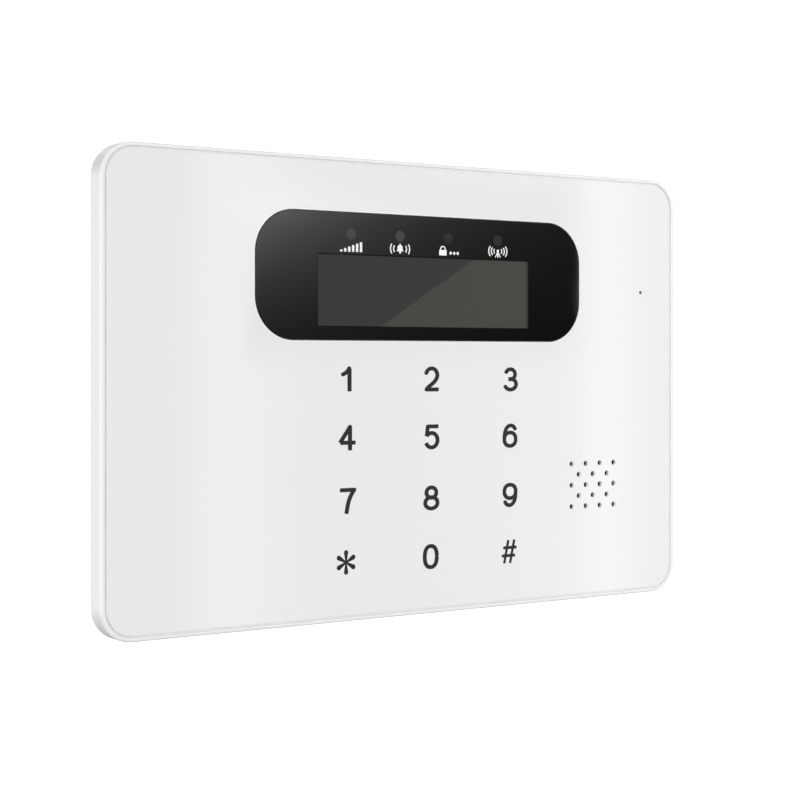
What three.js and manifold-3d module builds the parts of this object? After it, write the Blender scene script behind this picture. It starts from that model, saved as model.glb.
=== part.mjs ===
// Alarm keypad panel, in millimetres. +Z is up and the front faces -Y.
// The wall is the plane Y = 0, and the origin is the centre of the wall bracket's rear face.
import * as THREE from 'three';
import { mergeVertices } from 'three/addons/utils/BufferGeometryUtils.js';
import Module from 'manifold-3d';

const wasm = await Module();
wasm.setup();

// ---- Driving dimensions ----
const GAP = 0.3; // left between pieces that touch
const SIDES = 20; // facets of a plain round piece
const POST_SIDES = 14; // facets of a screw post
const HOLE_SIDES = 10; // facets of a screw hole

// Depths: the front face, and the planes behind it.
const FACE_Y = -22;
const PLATE_THICK = 2;
const PLATE_STEP = 0.45; // depth of the groove round the plate
const DECK_THICK = 1.6;
const SHELL_DEPTH = 5.7;
const FLANGE_THICK = 1.5;
const HOUSING_BACK_Y = -0.8;
const WALL_THICK = 1.8;
const BOARD_THICK = 1.6;
const BOARD_FRONT_Y = -12;

// Front shell and touch plate.
const SHELL = { w: 187, h: 122.4, r: 8.7 };
const RIM_INNER = { w: 184.75, h: 120.8, r: 7.7 };
const SHELL_CAVITY = { w: 183.4, h: 118.8, r: 6.9 };
const PLATE_TOP = { w: 183.55, h: 119.6, r: 7.1 };
const PLATE_BASE = { w: 184.5, h: 120.55, r: 7.6 };
const RIM_ROUND = 0.45;
const PLATE_ROUND = 0.15;

// Display. The black bezel lies flush in the plate, and the LCD's front lies in its opening.
const BEZEL = { x: 2.94, z: 29.86, w: 107, h: 33.7, r: 11.4 };
const BEZEL_GAP = 0.15;
const BEZEL_THICK = 1.2;
const LEDGE = 1.4; // width of the plate's ledge under the bezel
const LCD = { x: 2.85, z: 26.1, w: 69.5, h: 19.2 };
const LCD_GAP = 0.15; // round the LCD in the bezel
const LCD_FRONT_Y = -21.85;
const LCD_REAR = { w: 75, h: 23.6 };
const DISPLAY_OPENING = { w: 111.4, h: 37.8, r: 8 };
const LED_X = [-21.6, -6, 10, 27];
const LED_Z = 41.06;
const LED_R = 1.5;

// Keys, speaker and microphone.
const TOUCH_BOARD = { x: 4, z: -22, w: 76, h: 61 };
const SPEAKER_HOLE = { x: 53.74, z: -22.2, pitchX: 5.27, pitchZ: 3.07, r: 0.75, rows: [4, 3, 4, 3, 4] };
const SPEAKER = { x: 61.6, z: -28.3, r: 14 };
const GRILLE = { r: 13.4, thick: 0.9 }; // the plate is thinner behind the speaker's sound holes
// The microphone's boot has a nose in a recess of the plate, under a thin skin with the sound hole.
const MIC = { x: 80.1, z: 27.7, r: 2, holeR: 0.5, skin: 0.5, recessR: 1.9, noseR: 1.6 };

// Rear housing, boards and bracket.
const BOX = { w: 171, h: 106.4, r: 7 };
const FLANGE = { w: 182.8, h: 118.2, r: 6.6 };
const MAIN_BOARD = { w: 160, h: 94, notchX: 7.5, notchZ: 7 };
const CORNERS = [[-77.5, -45.2], [-77.5, 45.2], [77.5, -45.2], [77.5, 45.2]]; // case screws
const BOARD_SCREWS = [[-66, 42], [66, 42], [-66, -42], [47.5, -44]];
const BRACKET = { w: 90, h: 60, r: 5, thick: 2.4 };
const LIFT = 6; // how far the panel lifts to come off its hooks
const KEYHOLE = { x: 24, headZ: 9, headR: 4.2, neckZ: 16, neckR: 2.2 };
const HOOK = { w: 8, neck: 3, lip: 5, lipThick: 1.7 };
const HOOKS = [[-38, 22], [38, 22], [-38, -14], [38, -14]];
const RECESS = { w: BRACKET.w + 4, h: BRACKET.h + LIFT + 2, r: 6, z: -LIFT / 2 };
const RECESS_Y = -3;

// Parts along the bottom and right walls of the housing.
const SOCKET = { x: 63, y: -6.7, w: 9, length: 12, bore: 3.15 };
const TERMINAL = { x: -2, w: 16, poles: 4 };
const SWITCH = { x: 27, w: 10, travel: 3, knob: 3 };
const SIM = { z: 8, length: 25, w: 15, thick: 0.8, y: -9.2 };
const TAMPER = { x: 66, z: 24, r: 2.2, travel: 1.5 };

// Derived planes.
const PLATE_BACK_Y = FACE_Y + PLATE_THICK;
const DECK_FRONT_Y = PLATE_BACK_Y + GAP;
const DECK_BACK_Y = DECK_FRONT_Y + DECK_THICK;
const SHELL_BACK_Y = FACE_Y + SHELL_DEPTH;
const HOLDER_FRONT_Y = FACE_Y + BEZEL_THICK + GAP;
const HOLDER_BACK_Y = -14.6;
const BOARD_BACK_Y = BOARD_FRONT_Y + BOARD_THICK;
const PARTS_Y = BOARD_BACK_Y + GAP; // seat of parts behind the main board
const FLOOR_Y = HOUSING_BACK_Y - WALL_THICK; // inner floor of the housing
const RECESS_FLOOR_Y = RECESS_Y - WALL_THICK; // inner floor behind the bracket
const BOTTOM_Z = -BOX.h / 2; // outer face of the housing's bottom wall
const INNER_BOTTOM_Z = BOTTOM_Z + WALL_THICK;
const RIGHT_X = BOX.w / 2;
const PAST = 1; // how far a cutter runs past the face that it opens
const OUTSIDE_Y = HOUSING_BACK_Y + PAST;

// ---- Shapes ----
function roundedShape(width, height, radius) {
  const steps = Math.ceil(1.5 + 0.75 * radius); // facets of one corner
  const right = width / 2 - radius;
  const top = height / 2 - radius;
  const points = [];
  [[right, top], [-right, top], [-right, -top], [right, -top]].forEach(([x, z], corner) => {
    for (let step = 0; step <= steps; step += 1) {
      const angle = (corner + step / steps) * Math.PI / 2;
      points.push(new THREE.Vector2(x + radius * Math.cos(angle), z + radius * Math.sin(angle)));
    }
  });
  return new THREE.Shape(points);
}

// A flat shape in X and Z, made solid from y0 to y1. round is the radius of both its edges.
function extrudeY(shape, y0, y1, round = 0, roundSteps = 1) {
  const geometry = new THREE.ExtrudeGeometry(shape, {
    depth: y1 - y0 - 2 * round,
    bevelEnabled: round > 0,
    bevelSize: round,
    bevelThickness: round,
    bevelOffset: -round,
    bevelSegments: roundSteps,
  });
  geometry.rotateX(Math.PI / 2);
  geometry.translate(0, y1 - round, 0);
  return geometry;
}

function slab(size, y0, y1, { x = size.x ?? 0, z = size.z ?? 0, round = 0, roundSteps = 1, grow = 0 } = {}) {
  const radius = Math.max((size.r ?? 0.5) + grow, 0.2);
  const shape = roundedShape(size.w + 2 * grow, size.h + 2 * grow, radius);
  return extrudeY(shape, y0, y1, round, roundSteps).translate(x, 0, z);
}

function box(x0, x1, y0, y1, z0, z1) {
  const geometry = new THREE.BoxGeometry(x1 - x0, y1 - y0, z1 - z0);
  return geometry.translate((x0 + x1) / 2, (y0 + y1) / 2, (z0 + z1) / 2);
}

function rodY(radius, y0, y1, x, z, sides = SIDES) {
  const geometry = new THREE.CylinderGeometry(radius, radius, y1 - y0, sides);
  return geometry.translate(x, (y0 + y1) / 2, z);
}

function rodZ(radius, z0, z1, x, y, sides = SIDES) {
  const geometry = new THREE.CylinderGeometry(radius, radius, z1 - z0, sides);
  return geometry.rotateX(Math.PI / 2).translate(x, y, (z0 + z1) / 2);
}

// A turned piece about an axis along Y, from its outline of [radius, y].
function turned(outline, x, z, sides = SIDES) {
  const points = outline.map(([radius, y]) => new THREE.Vector2(radius, y));
  return new THREE.LatheGeometry(points, sides).translate(x, 0, z);
}

class Helix extends THREE.Curve {
  constructor(radius, length, turns) {
    super();
    this.radius = radius;
    this.length = length;
    this.turns = turns;
  }

  getPoint(t, target = new THREE.Vector3()) {
    const angle = t * this.turns * 2 * Math.PI;
    return target.set(this.radius * Math.cos(angle), t * this.length, this.radius * Math.sin(angle));
  }
}

function wire(path, radius, steps, sides) {
  const section = new THREE.Shape();
  for (let side = 0; side < sides; side += 1) {
    const angle = side / sides * 2 * Math.PI;
    const point = [radius * Math.cos(angle), radius * Math.sin(angle)];
    if (side === 0) section.moveTo(...point);
    else section.lineTo(...point);
  }
  section.closePath();
  return new THREE.ExtrudeGeometry(section, { steps, extrudePath: path, bevelEnabled: false });
}

function lead(points, radius, steps) {
  const path = new THREE.CatmullRomCurve3(points.map((point) => new THREE.Vector3(...point)));
  return wire(path, radius, steps, 5);
}

// A ribbon of even thickness along [y, z] points, from x0 to x1.
function ribbon(points, thick, x0, x1) {
  const curve = new THREE.SplineCurve(points.map(([y, z]) => new THREE.Vector2(y, z)));
  const steps = 14;
  const front = [];
  const back = [];
  for (let step = 0; step <= steps; step += 1) {
    const point = curve.getPoint(step / steps);
    const tangent = curve.getTangent(step / steps);
    const side = new THREE.Vector2(-tangent.y, tangent.x).multiplyScalar(thick / 2);
    front.push(point.clone().add(side));
    back.unshift(point.clone().sub(side));
  }
  const shape = new THREE.Shape([...front, ...back]);
  const geometry = new THREE.ExtrudeGeometry(shape, { depth: x1 - x0, bevelEnabled: false });
  const turn = new THREE.Matrix4().set(0, 0, 1, x0, 1, 0, 0, 0, 0, 1, 0, 0, 0, 0, 0, 1);
  return geometry.applyMatrix4(turn);
}

// ---- Joining and cutting ----
function toSolid(geometry) {
  const bare = geometry.clone();
  bare.deleteAttribute('normal');
  bare.deleteAttribute('uv');
  const merged = mergeVertices(bare, 1e-4);
  return new wasm.Manifold(new wasm.Mesh({
    numProp: 3,
    vertProperties: new Float32Array(merged.attributes.position.array),
    triVerts: new Uint32Array(merged.index.array),
  }));
}

function toGeometry(solid) {
  const { vertProperties, triVerts } = solid.getMesh();
  const geometry = new THREE.BufferGeometry();
  geometry.setAttribute('position', new THREE.BufferAttribute(new Float32Array(vertProperties), 3));
  geometry.setIndex(new THREE.BufferAttribute(new Uint32Array(triVerts), 1));
  geometry.computeVertexNormals();
  return geometry;
}

function shaped(first, { join = [], cut = [], lastJoin = [] }) {
  let solid = toSolid(first);
  join.forEach((geometry) => { solid = solid.add(toSolid(geometry)); });
  cut.forEach((geometry) => { solid = solid.subtract(toSolid(geometry)); });
  lastJoin.forEach((geometry) => { solid = solid.add(toSolid(geometry)); });
  return toGeometry(solid);
}

// ---- Materials ----
const finish = (color, roughness, metalness = 0) => ({ color, roughness, metalness });
const FINISHES = {
  whiteGloss: finish(0xf1f2f4, 0.18),
  whiteSatin: finish(0xeeefef, 0.4),
  smoked: finish(0x08080a, 0.08),
  blackMatte: finish(0x121214, 0.6),
  lcdGlass: finish(0x3c3d39, 0.25),
  milky: finish(0xe4e8e2, 0.5),
  led: finish(0xb8bab6, 0.2),
  greenBoard: finish(0x1f5d3a, 0.45),
  flex: finish(0xb8691f, 0.4),
  shieldCan: finish(0xb9bcc0, 0.35, 1),
  steel: finish(0x9fa3a8, 0.35, 1),
  copper: finish(0xc07a45, 0.3, 1),
  battery: finish(0x2f6fae, 0.5),
  blackRubber: finish(0x1a1a1c, 0.8),
  cone: finish(0x26272b, 0.7),
  terminal: finish(0x2f8a4c, 0.5),
  card: finish(0xf4f4f2, 0.45),
  redLead: finish(0xb3261e, 0.5),
};

const panel = new THREE.Group();

function addPiece(name, geometry, finishName) {
  const mesh = new THREE.Mesh(geometry, new THREE.MeshStandardMaterial(FINISHES[finishName]));
  mesh.name = name;
  panel.add(mesh);
}

// ---- Wall bracket: the piece that stays on the wall ----
function wallBracket() {
  const frontY = -BRACKET.thick;
  const lipBackY = RECESS_FLOOR_Y - 0.4;
  const hooks = HOOKS.flatMap(([x, z]) => {
    const [left, right] = [x - HOOK.w / 2, x + HOOK.w / 2];
    return [
      box(left, right, lipBackY - HOOK.lipThick, frontY + 0.5, z - HOOK.neck, z),
      box(left, right, lipBackY - HOOK.lipThick, lipBackY, z - HOOK.neck, z + HOOK.lip),
    ];
  });
  const [low, high] = [frontY - PAST, PAST];
  const { headZ, headR, neckZ, neckR } = KEYHOLE;
  const sides = [-KEYHOLE.x, KEYHOLE.x];
  const keyholes = sides.flatMap((x) => [
    rodY(headR, low, high, x, headZ),
    rodY(neckR, low, high, x, neckZ, 16),
    box(x - neckR, x + neckR, low, high, headZ, neckZ),
  ]);
  const slots = sides.map((x) => slab({ w: 10, h: 4.6, r: 2.3 }, low, high, { x, z: -18 }));
  const cableHole = slab({ w: 30, h: 12, r: 3 }, low, high, { z: -19 });
  const plate = slab(BRACKET, frontY, 0, { round: 0.4 });
  return shaped(plate, { join: hooks, cut: [...keyholes, ...slots, cableHole] });
}

// ---- Front shell, touch plate and bezel ----
function frontShell() {
  const deckCut = [DECK_FRONT_Y - PAST, DECK_BACK_Y + PAST];
  const bosses = CORNERS.map(([x, z]) => rodY(3.2, DECK_BACK_Y - 0.5, -7.5, x, z, POST_SIDES));
  const bossHoles = CORNERS.map(([x, z]) => rodY(1.7, -15, -7.5 + PAST, x, z, HOLE_SIDES));
  const postTopY = BOARD_FRONT_Y - GAP;
  const posts = BOARD_SCREWS.map(([x, z]) => rodY(2.75, DECK_BACK_Y - 0.5, postTopY, x, z, POST_SIDES));
  const postHoles = BOARD_SCREWS.map(([x, z]) => rodY(1.4, -17, BOARD_FRONT_Y + PAST, x, z, HOLE_SIDES));
  const touchOpening = { ...TOUCH_BOARD, r: 1.5 };
  return shaped(slab(SHELL, FACE_Y, SHELL_BACK_Y, { round: RIM_ROUND, roundSteps: 3 }), {
    cut: [
      slab(RIM_INNER, FACE_Y - PAST, DECK_FRONT_Y),
      slab(SHELL_CAVITY, DECK_BACK_Y, SHELL_BACK_Y + PAST),
      slab({ ...DISPLAY_OPENING, x: BEZEL.x, z: BEZEL.z }, ...deckCut),
      slab(touchOpening, ...deckCut, { grow: 1 }),
      rodY(GRILLE.r, ...deckCut, SPEAKER.x, SPEAKER.z, 24),
      rodY(MIC.recessR, ...deckCut, MIC.x, MIC.z, 16),
    ],
    lastJoin: [
      shaped(bosses[0], { join: bosses.slice(1), cut: bossHoles }),
      shaped(posts[0], { join: posts.slice(1), cut: postHoles }),
      shaped(rodY(15.6, DECK_BACK_Y - 0.5, -13.8, SPEAKER.x, SPEAKER.z, 24), {
        cut: [rodY(14.5, DECK_BACK_Y - PAST, -13, SPEAKER.x, SPEAKER.z, 24)],
      }),
    ],
  });
}

function speakerHoles() {
  const { x, z, pitchX, pitchZ, r, rows } = SPEAKER_HOLE;
  return rows.flatMap((count, row) => Array.from({ length: count }, (_, column) => {
    const shift = count < 4 ? pitchX / 2 : 0;
    return rodY(r, FACE_Y - PAST, PLATE_BACK_Y + PAST, x + shift + column * pitchX, z - row * pitchZ, 10);
  }));
}

function touchPlate() {
  const base = slab(PLATE_BASE, FACE_Y + PLATE_STEP, PLATE_BACK_Y);
  const ledgeY = FACE_Y + BEZEL_THICK + 0.2;
  return shaped(base, {
    join: [slab(PLATE_TOP, FACE_Y, FACE_Y + 2 * PLATE_STEP, { round: PLATE_ROUND })],
    cut: [
      slab(BEZEL, FACE_Y - PAST, ledgeY, { grow: BEZEL_GAP }),
      slab(BEZEL, FACE_Y, PLATE_BACK_Y + PAST, { grow: -LEDGE }),
      ...speakerHoles(),
      rodY(GRILLE.r, FACE_Y + GRILLE.thick, PLATE_BACK_Y + PAST, SPEAKER.x, SPEAKER.z, 24),
      rodY(MIC.recessR, FACE_Y + MIC.skin, PLATE_BACK_Y + PAST, MIC.x, MIC.z, 16),
      rodY(MIC.holeR, FACE_Y - PAST, PLATE_BACK_Y + PAST, MIC.x, MIC.z, 12),
    ],
  });
}

function displayBezel() {
  return shaped(slab(BEZEL, FACE_Y, FACE_Y + BEZEL_THICK, { round: 0.1 }), {
    cut: [slab({ ...LCD, r: 0.3 }, FACE_Y - PAST, PLATE_BACK_Y)],
  });
}

// ---- Display ----
function displayHolder() {
  const front = slab(BEZEL, HOLDER_FRONT_Y, DECK_FRONT_Y, { grow: -LEDGE - GAP });
  const body = slab({ ...DISPLAY_OPENING, x: BEZEL.x, z: BEZEL.z }, DECK_FRONT_Y - 0.01, HOLDER_BACK_Y, {
    grow: -GAP - 0.1,
  });
  const ledHoles = LED_X.map((x) => (
    rodY(LED_R + 0.2, HOLDER_FRONT_Y - PAST, HOLDER_BACK_Y + PAST, x, LED_Z, 20)
  ));
  const window = slab({ ...LCD, r: 0.3 }, HOLDER_FRONT_Y - PAST, HOLDER_BACK_Y, { grow: GAP });
  const pocket = slab({ ...LCD, ...LCD_REAR, r: 0.4 }, -19.2, HOLDER_BACK_Y + PAST, { grow: GAP });
  return shaped(front, { join: [body], cut: [window, pocket, ...ledHoles] });
}

function lcdGlass() {
  const front = slab({ ...LCD, r: 0.3 }, LCD_FRONT_Y, -18.8, { grow: -LCD_GAP });
  return shaped(front, { join: [slab({ ...LCD, ...LCD_REAR, r: 0.4 }, -18.9, -17.7)] });
}

function lcdBacklight() {
  return slab({ ...LCD, ...LCD_REAR, r: 0.6 }, -17.4, -15, { round: 0.3 });
}

function statusLed(x) {
  const head = turned([
    [0, -20.4], [0.7, -20.25], [1.2, -19.8], [LED_R, -19.1], [LED_R, -15.4],
    [1.65, -15.4], [1.65, -14.7], [0, -14.7],
  ], x, LED_Z, 16);
  const legs = [-1.27, 1.27].map((side) => box(
    x + side * 0.6 - 0.25, x + side * 0.6 + 0.25, -14.9, BOARD_FRONT_Y - GAP, LED_Z - 0.25, LED_Z + 0.25,
  ));
  return shaped(head, { join: legs });
}

// ---- Boards ----
function touchBoard() {
  const shape = { ...TOUCH_BOARD, r: 1 };
  return shaped(slab(shape, DECK_FRONT_Y, DECK_FRONT_Y + 1), {
    join: [box(-14, 2, DECK_FRONT_Y + 0.9, DECK_FRONT_Y + 2.2, -46, -42.5)],
  });
}

function mainBoard() {
  const { w, h, notchX, notchZ } = MAIN_BOARD;
  const [y0, y1] = [BOARD_FRONT_Y - PAST, BOARD_BACK_Y + PAST];
  const notches = [-1, 1].flatMap((sx) => [-1, 1].map((sz) => {
    const [xa, xb] = [sx * (w / 2 - notchX), sx * (w / 2 + PAST)];
    const [za, zb] = [sz * (h / 2 - notchZ), sz * (h / 2 + PAST)];
    return box(Math.min(xa, xb), Math.max(xa, xb), y0, y1, Math.min(za, zb), Math.max(za, zb));
  }));
  const holes = BOARD_SCREWS.map(([x, z]) => rodY(1.4, y0, y1, x, z, HOLE_SIDES));
  const magnetHole = rodY(8, y0, y1, SPEAKER.x, SPEAKER.z);
  return shaped(slab({ w, h, r: 1.5 }, BOARD_FRONT_Y, BOARD_BACK_Y), {
    cut: [...notches, ...holes, magnetHole],
  });
}

function gsmModule() {
  return slab({ x: -18, z: 14, w: 24, h: 24, r: 1 }, PARTS_Y, -7.3, { round: 0.25 });
}

function gsmAntenna() {
  return box(-60, 0, -14.5, -6.5, 50.5, 51.1);
}

function radioBoard() {
  return shaped(slab({ x: 23, z: 24, w: 38, h: 12, r: 0.5 }, PARTS_Y + 0.2, PARTS_Y + 1.2), {
    join: [box(28, 36, PARTS_Y + 1.1, PARTS_Y + 2.4, 20.5, 27.5)],
  });
}

function radioAntenna() {
  const coil = wire(new Helix(2.3, 22, 7), 0.4, 63, 4);
  return coil.rotateZ(-Math.PI / 2).translate(12, -6.8, 38.5);
}

function simHolder() {
  const [z0, z1] = [SIM.z - 9, SIM.z + 9];
  const cavity = box(58.6, 81, SIM.y - 0.7, SIM.y + 0.7, SIM.z - 7.8, SIM.z + 7.8);
  const window = box(63, 74, SIM.y, -7.5, SIM.z - 4, SIM.z + 4);
  return shaped(box(57.4, 79.6, PARTS_Y, -8, z0, z1), { cut: [cavity, window] });
}

function simCard() {
  const outer = RIGHT_X - 0.5;
  const [z0, z1] = [SIM.z - SIM.w / 2, SIM.z + SIM.w / 2];
  const cutCorner = 3;
  const shape = new THREE.Shape([
    new THREE.Vector2(outer - SIM.length, z0 + cutCorner),
    new THREE.Vector2(outer - SIM.length + cutCorner, z0),
    new THREE.Vector2(outer, z0),
    new THREE.Vector2(outer, z1),
    new THREE.Vector2(outer - SIM.length, z1),
  ]);
  return extrudeY(shape, SIM.y - SIM.thick / 2, SIM.y + SIM.thick / 2);
}

// ---- Battery, speaker and microphone ----
function batteryPack() {
  return slab({ x: -66, z: -1, w: 30, h: 58, r: 2.5 }, -9.9, -3.2, { round: 1.2 });
}

function speakerFrame() {
  return turned([
    [11.7, -16.8], [SPEAKER.r, -16.8], [SPEAKER.r, -16.2], [12.6, -16.2], [9.6, -13.4],
    [7.3, -13.4], [7.3, -14], [9.2, -14], [11.7, -16.1], [11.7, -16.8],
  ], SPEAKER.x, SPEAKER.z, 24);
}

function speakerMagnet() {
  return turned([[0, -14], [6.4, -14], [7, -13.6], [7, -11.4], [6.6, -11], [0, -11]], SPEAKER.x, SPEAKER.z);
}

function speakerCone() {
  return turned([
    [0, -16.5], [2.4, -16.3], [4.2, -15.8], [5.4, -15.3], [9.8, -16.1], [10.5, -16.6], [11.2, -16.5],
    [11.2, -16.2], [10.6, -16.2], [9.9, -15.7], [5.4, -14.9], [4, -15.4], [2.3, -15.9], [0, -16.1],
  ], SPEAKER.x, SPEAKER.z, 20);
}

function speakerGasket() {
  return turned([[12.6, -17.8], [14.2, -17.8], [14.2, -17.1], [12.6, -17.1], [12.6, -17.8]],
    SPEAKER.x, SPEAKER.z, 24);
}

function microphone() {
  return turned([[0, -17.3], [1.9, -17.3], [MIC.r, -17.2], [MIC.r, -15.8], [0, -15.8]], MIC.x, MIC.z, 16);
}

function microphoneBoot() {
  const tipY = FACE_Y + MIC.skin + GAP;
  return turned([
    [0.6, tipY], [MIC.noseR, tipY], [MIC.noseR, -17.8], [2.9, -17.8], [2.9, -15.4], [2.3, -15.4],
    [2.3, -17.55], [0.6, -17.55], [0.6, tipY],
  ], MIC.x, MIC.z, 20);
}

// ---- Inlet, terminals and switches ----
function dcSocket() {
  const { x, y, w, length, bore } = SOCKET;
  const mouthZ = INNER_BOTTOM_Z + GAP;
  return shaped(box(x - w / 2, x + w / 2, PARTS_Y, -3, mouthZ, mouthZ + length), {
    cut: [rodZ(bore, mouthZ - PAST, mouthZ + length - 2.5, x, y)],
    lastJoin: [rodZ(1, mouthZ + 1, mouthZ + length - 1, x, y, 12)],
  });
}

function terminalBlock() {
  const { x, w, poles } = TERMINAL;
  const pitch = (w - 1) / poles;
  const mouths = Array.from({ length: poles }, (_, pole) => {
    const poleX = x + (pole - (poles - 1) / 2) * pitch;
    return box(poleX - 1.1, poleX + 1.1, -8.2, -6, BOTTOM_Z - PAST, BOTTOM_Z + 5);
  });
  return shaped(box(x - w / 2, x + w / 2, PARTS_Y, -4.1, BOTTOM_Z + 0.2, BOTTOM_Z + 9), { cut: mouths });
}

function switchBody() {
  const { x, w } = SWITCH;
  const mouthZ = INNER_BOTTOM_Z + GAP;
  return shaped(box(x - w / 2, x + w / 2, PARTS_Y, -4.6, mouthZ, mouthZ + 5.2), {
    cut: [box(x - 3.4, x + 3.4, -8.9, -5.9, mouthZ - PAST, mouthZ + 2)],
  });
}

function switchSlider() {
  const { x, knob, travel } = SWITCH;
  const left = x - travel / 2 - knob / 2;
  const geometry = new THREE.BoxGeometry(knob, 2.2, 4.4);
  const ridges = [-0.9, 0, 0.9].map((side) => box(
    left + knob / 2 + side - 0.15, left + knob / 2 + side + 0.15, -8.7, -6.1, BOTTOM_Z - 0.9, BOTTOM_Z - 0.3,
  ));
  geometry.translate(left + knob / 2, -7.4, BOTTOM_Z + 1.5);
  return shaped(geometry, { cut: ridges });
}

function tamperBody() {
  const { x, z } = TAMPER;
  return shaped(box(x - 4, x + 4, PARTS_Y, -7.4, z - 4, z + 4), {
    cut: [rodY(1.7, -9.9, -7.4 + PAST, x, z, 12)],
  });
}

function tamperPlunger() {
  const { x, z, r } = TAMPER;
  return turned([
    [0, -0.05], [r - 0.5, -0.05], [r, -0.5], [r, -2.9], [3.3, -2.9], [3.3, -3.9], [1.3, -3.9], [1.3, -8.2],
    [0, -8.2],
  ].reverse(), x, z);
}

function tamperSpring() {
  const spring = wire(new Helix(2.3, 2.5, 3.5), 0.28, 32, 4);
  return spring.translate(TAMPER.x, -6.9, TAMPER.z);
}

// ---- Rear housing ----
function wallCuts() {
  const [bottom, inside] = [BOTTOM_Z - PAST, INNER_BOTTOM_Z + PAST];
  const knobHalf = (SWITCH.knob + SWITCH.travel) / 2 + GAP;
  const terminalHalf = TERMINAL.w / 2 + GAP;
  const cardHalf = SIM.w / 2 + 0.4;
  return [
    rodZ(3.6, bottom, inside, SOCKET.x, SOCKET.y),
    box(SWITCH.x - knobHalf, SWITCH.x + knobHalf, -8.8, -6, bottom, inside),
    box(TERMINAL.x - terminalHalf, TERMINAL.x + terminalHalf, -10.4, -3.8, bottom, inside),
    box(RIGHT_X - 3, RIGHT_X + PAST, SIM.y - 0.8, SIM.y + 0.8, SIM.z - cardHalf, SIM.z + cardHalf),
    box(RIGHT_X - 0.8, RIGHT_X + PAST, SIM.y - 3, SIM.y + 3, SIM.z - 4.5, SIM.z + 4.5),
    rodY(TAMPER.r + 0.4, FLOOR_Y - PAST, OUTSIDE_Y, TAMPER.x, TAMPER.z),
  ];
}

function rearHousing() {
  const walls = slab(BOX, SHELL_BACK_Y - 1, HOUSING_BACK_Y, { round: 0.6, roundSteps: 2 });
  const inner = slab(BOX, SHELL_BACK_Y - FLANGE_THICK - PAST, FLOOR_Y, { grow: -WALL_THICK });
  const pocket = slab(RECESS, RECESS_FLOOR_Y, FLOOR_Y + 0.2, { grow: WALL_THICK });
  const posts = CORNERS.map(([x, z]) => rodY(4, -7.2, FLOOR_Y + 0.2, x, z, POST_SIDES));
  const tray = shaped(slab(FLANGE, SHELL_BACK_Y - FLANGE_THICK, SHELL_BACK_Y), {
    join: [walls], cut: [inner], lastJoin: [pocket, ...posts],
  });
  const hookSlots = HOOKS.map(([x, z]) => {
    const half = HOOK.w / 2 + 0.7;
    const bottom = z - HOOK.neck - LIFT - 0.6;
    return box(x - half, x + half, RECESS_FLOOR_Y - PAST, RECESS_Y + PAST, bottom, z + GAP);
  });
  const screwWays = CORNERS.flatMap(([x, z]) => [
    rodY(1.7, -8, OUTSIDE_Y, x, z, HOLE_SIDES),
    rodY(3.1, -4.6, OUTSIDE_Y, x, z),
  ]);
  const vents = [-67, 67].flatMap((x) => [0, 1, 2, 3, 4].map((row) => {
    const top = -24 - row * 3.4;
    return box(x - 8, x + 8, FLOOR_Y - PAST, OUTSIDE_Y, top - 1.8, top);
  }));
  return shaped(tray, {
    cut: [slab(RECESS, RECESS_Y, OUTSIDE_Y), ...hookSlots, ...screwWays, ...vents, ...wallCuts()],
  });
}

// ---- Screws ----
// A pan-head screw along Y with a cross recess: its head faces the wall.
function screw(x, z, { seatY, shankR, headR, headHeight, length }) {
  const topY = seatY + headHeight;
  const body = turned([
    [0, seatY - length], [shankR * 0.3, seatY - length], [shankR, seatY - length + 1.4], [shankR, seatY],
    [headR, seatY], [headR, topY - headHeight * 0.45], [headR * 0.75, topY - 0.1], [0, topY],
  ], x, z, 10);
  const cross = [[headR * 0.55, 0.3], [0.3, headR * 0.55]].map(([dx, dz]) => (
    box(x - dx, x + dx, topY - headHeight * 0.55, topY + PAST, z - dz, z + dz)
  ));
  return shaped(body, { cut: cross });
}

const CASE_SCREW_SHAPE = { seatY: -4.3, shankR: 1.3, headR: 2.7, headHeight: 2, length: 9.5 };
const BOARD_SCREW_SHAPE = { seatY: PARTS_Y, shankR: 1, headR: 2.1, headHeight: 1.5, length: 6 };

// ---- The assembly ----
addPiece('wall_bracket', wallBracket(), 'whiteSatin');
addPiece('front_shell', frontShell(), 'whiteGloss');
addPiece('touch_plate', touchPlate(), 'whiteGloss');
addPiece('display_bezel', displayBezel(), 'smoked');
addPiece('display_holder', displayHolder(), 'blackMatte');
addPiece('lcd_glass', lcdGlass(), 'lcdGlass');
addPiece('lcd_backlight', lcdBacklight(), 'milky');
addPiece('lcd_ribbon', ribbon([[-14.1, 22], [-13.9, 12], [-13.2, 8], [-12.6, 4]], 0.25, -10, 10), 'flex');
LED_X.forEach((x, index) => addPiece(`status_led_${index + 1}`, statusLed(x), 'led'));
addPiece('touch_board', touchBoard(), 'greenBoard');
addPiece('touch_ribbon', ribbon([[-18, -42], [-17.4, -37], [-14, -34], [-12.6, -30]], 0.25, -12, 0), 'flex');
addPiece('main_board', mainBoard(), 'greenBoard');
addPiece('gsm_module', gsmModule(), 'shieldCan');
addPiece('gsm_antenna', gsmAntenna(), 'flex');
addPiece('gsm_antenna_lead', lead([
  [-30, -8.4, 50], [-30, -7.8, 44], [-25, -7.8, 36], [-18, -8.4, 30], [-17, -8.8, 26.6],
], 0.5, 18), 'blackRubber');
addPiece('radio_board', radioBoard(), 'greenBoard');
addPiece('radio_antenna', radioAntenna(), 'copper');
addPiece('sim_holder', simHolder(), 'shieldCan');
addPiece('sim_card', simCard(), 'card');
addPiece('battery_pack', batteryPack(), 'battery');
addPiece('battery_lead', lead([
  [-58, -6.5, 28.6], [-57, -6.4, 33], [-52, -7.4, 37], [-46, -8.8, 38], [-43, -9.4, 38],
], 0.6, 16), 'redLead');
addPiece('speaker_frame', speakerFrame(), 'steel');
addPiece('speaker_magnet', speakerMagnet(), 'steel');
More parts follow.
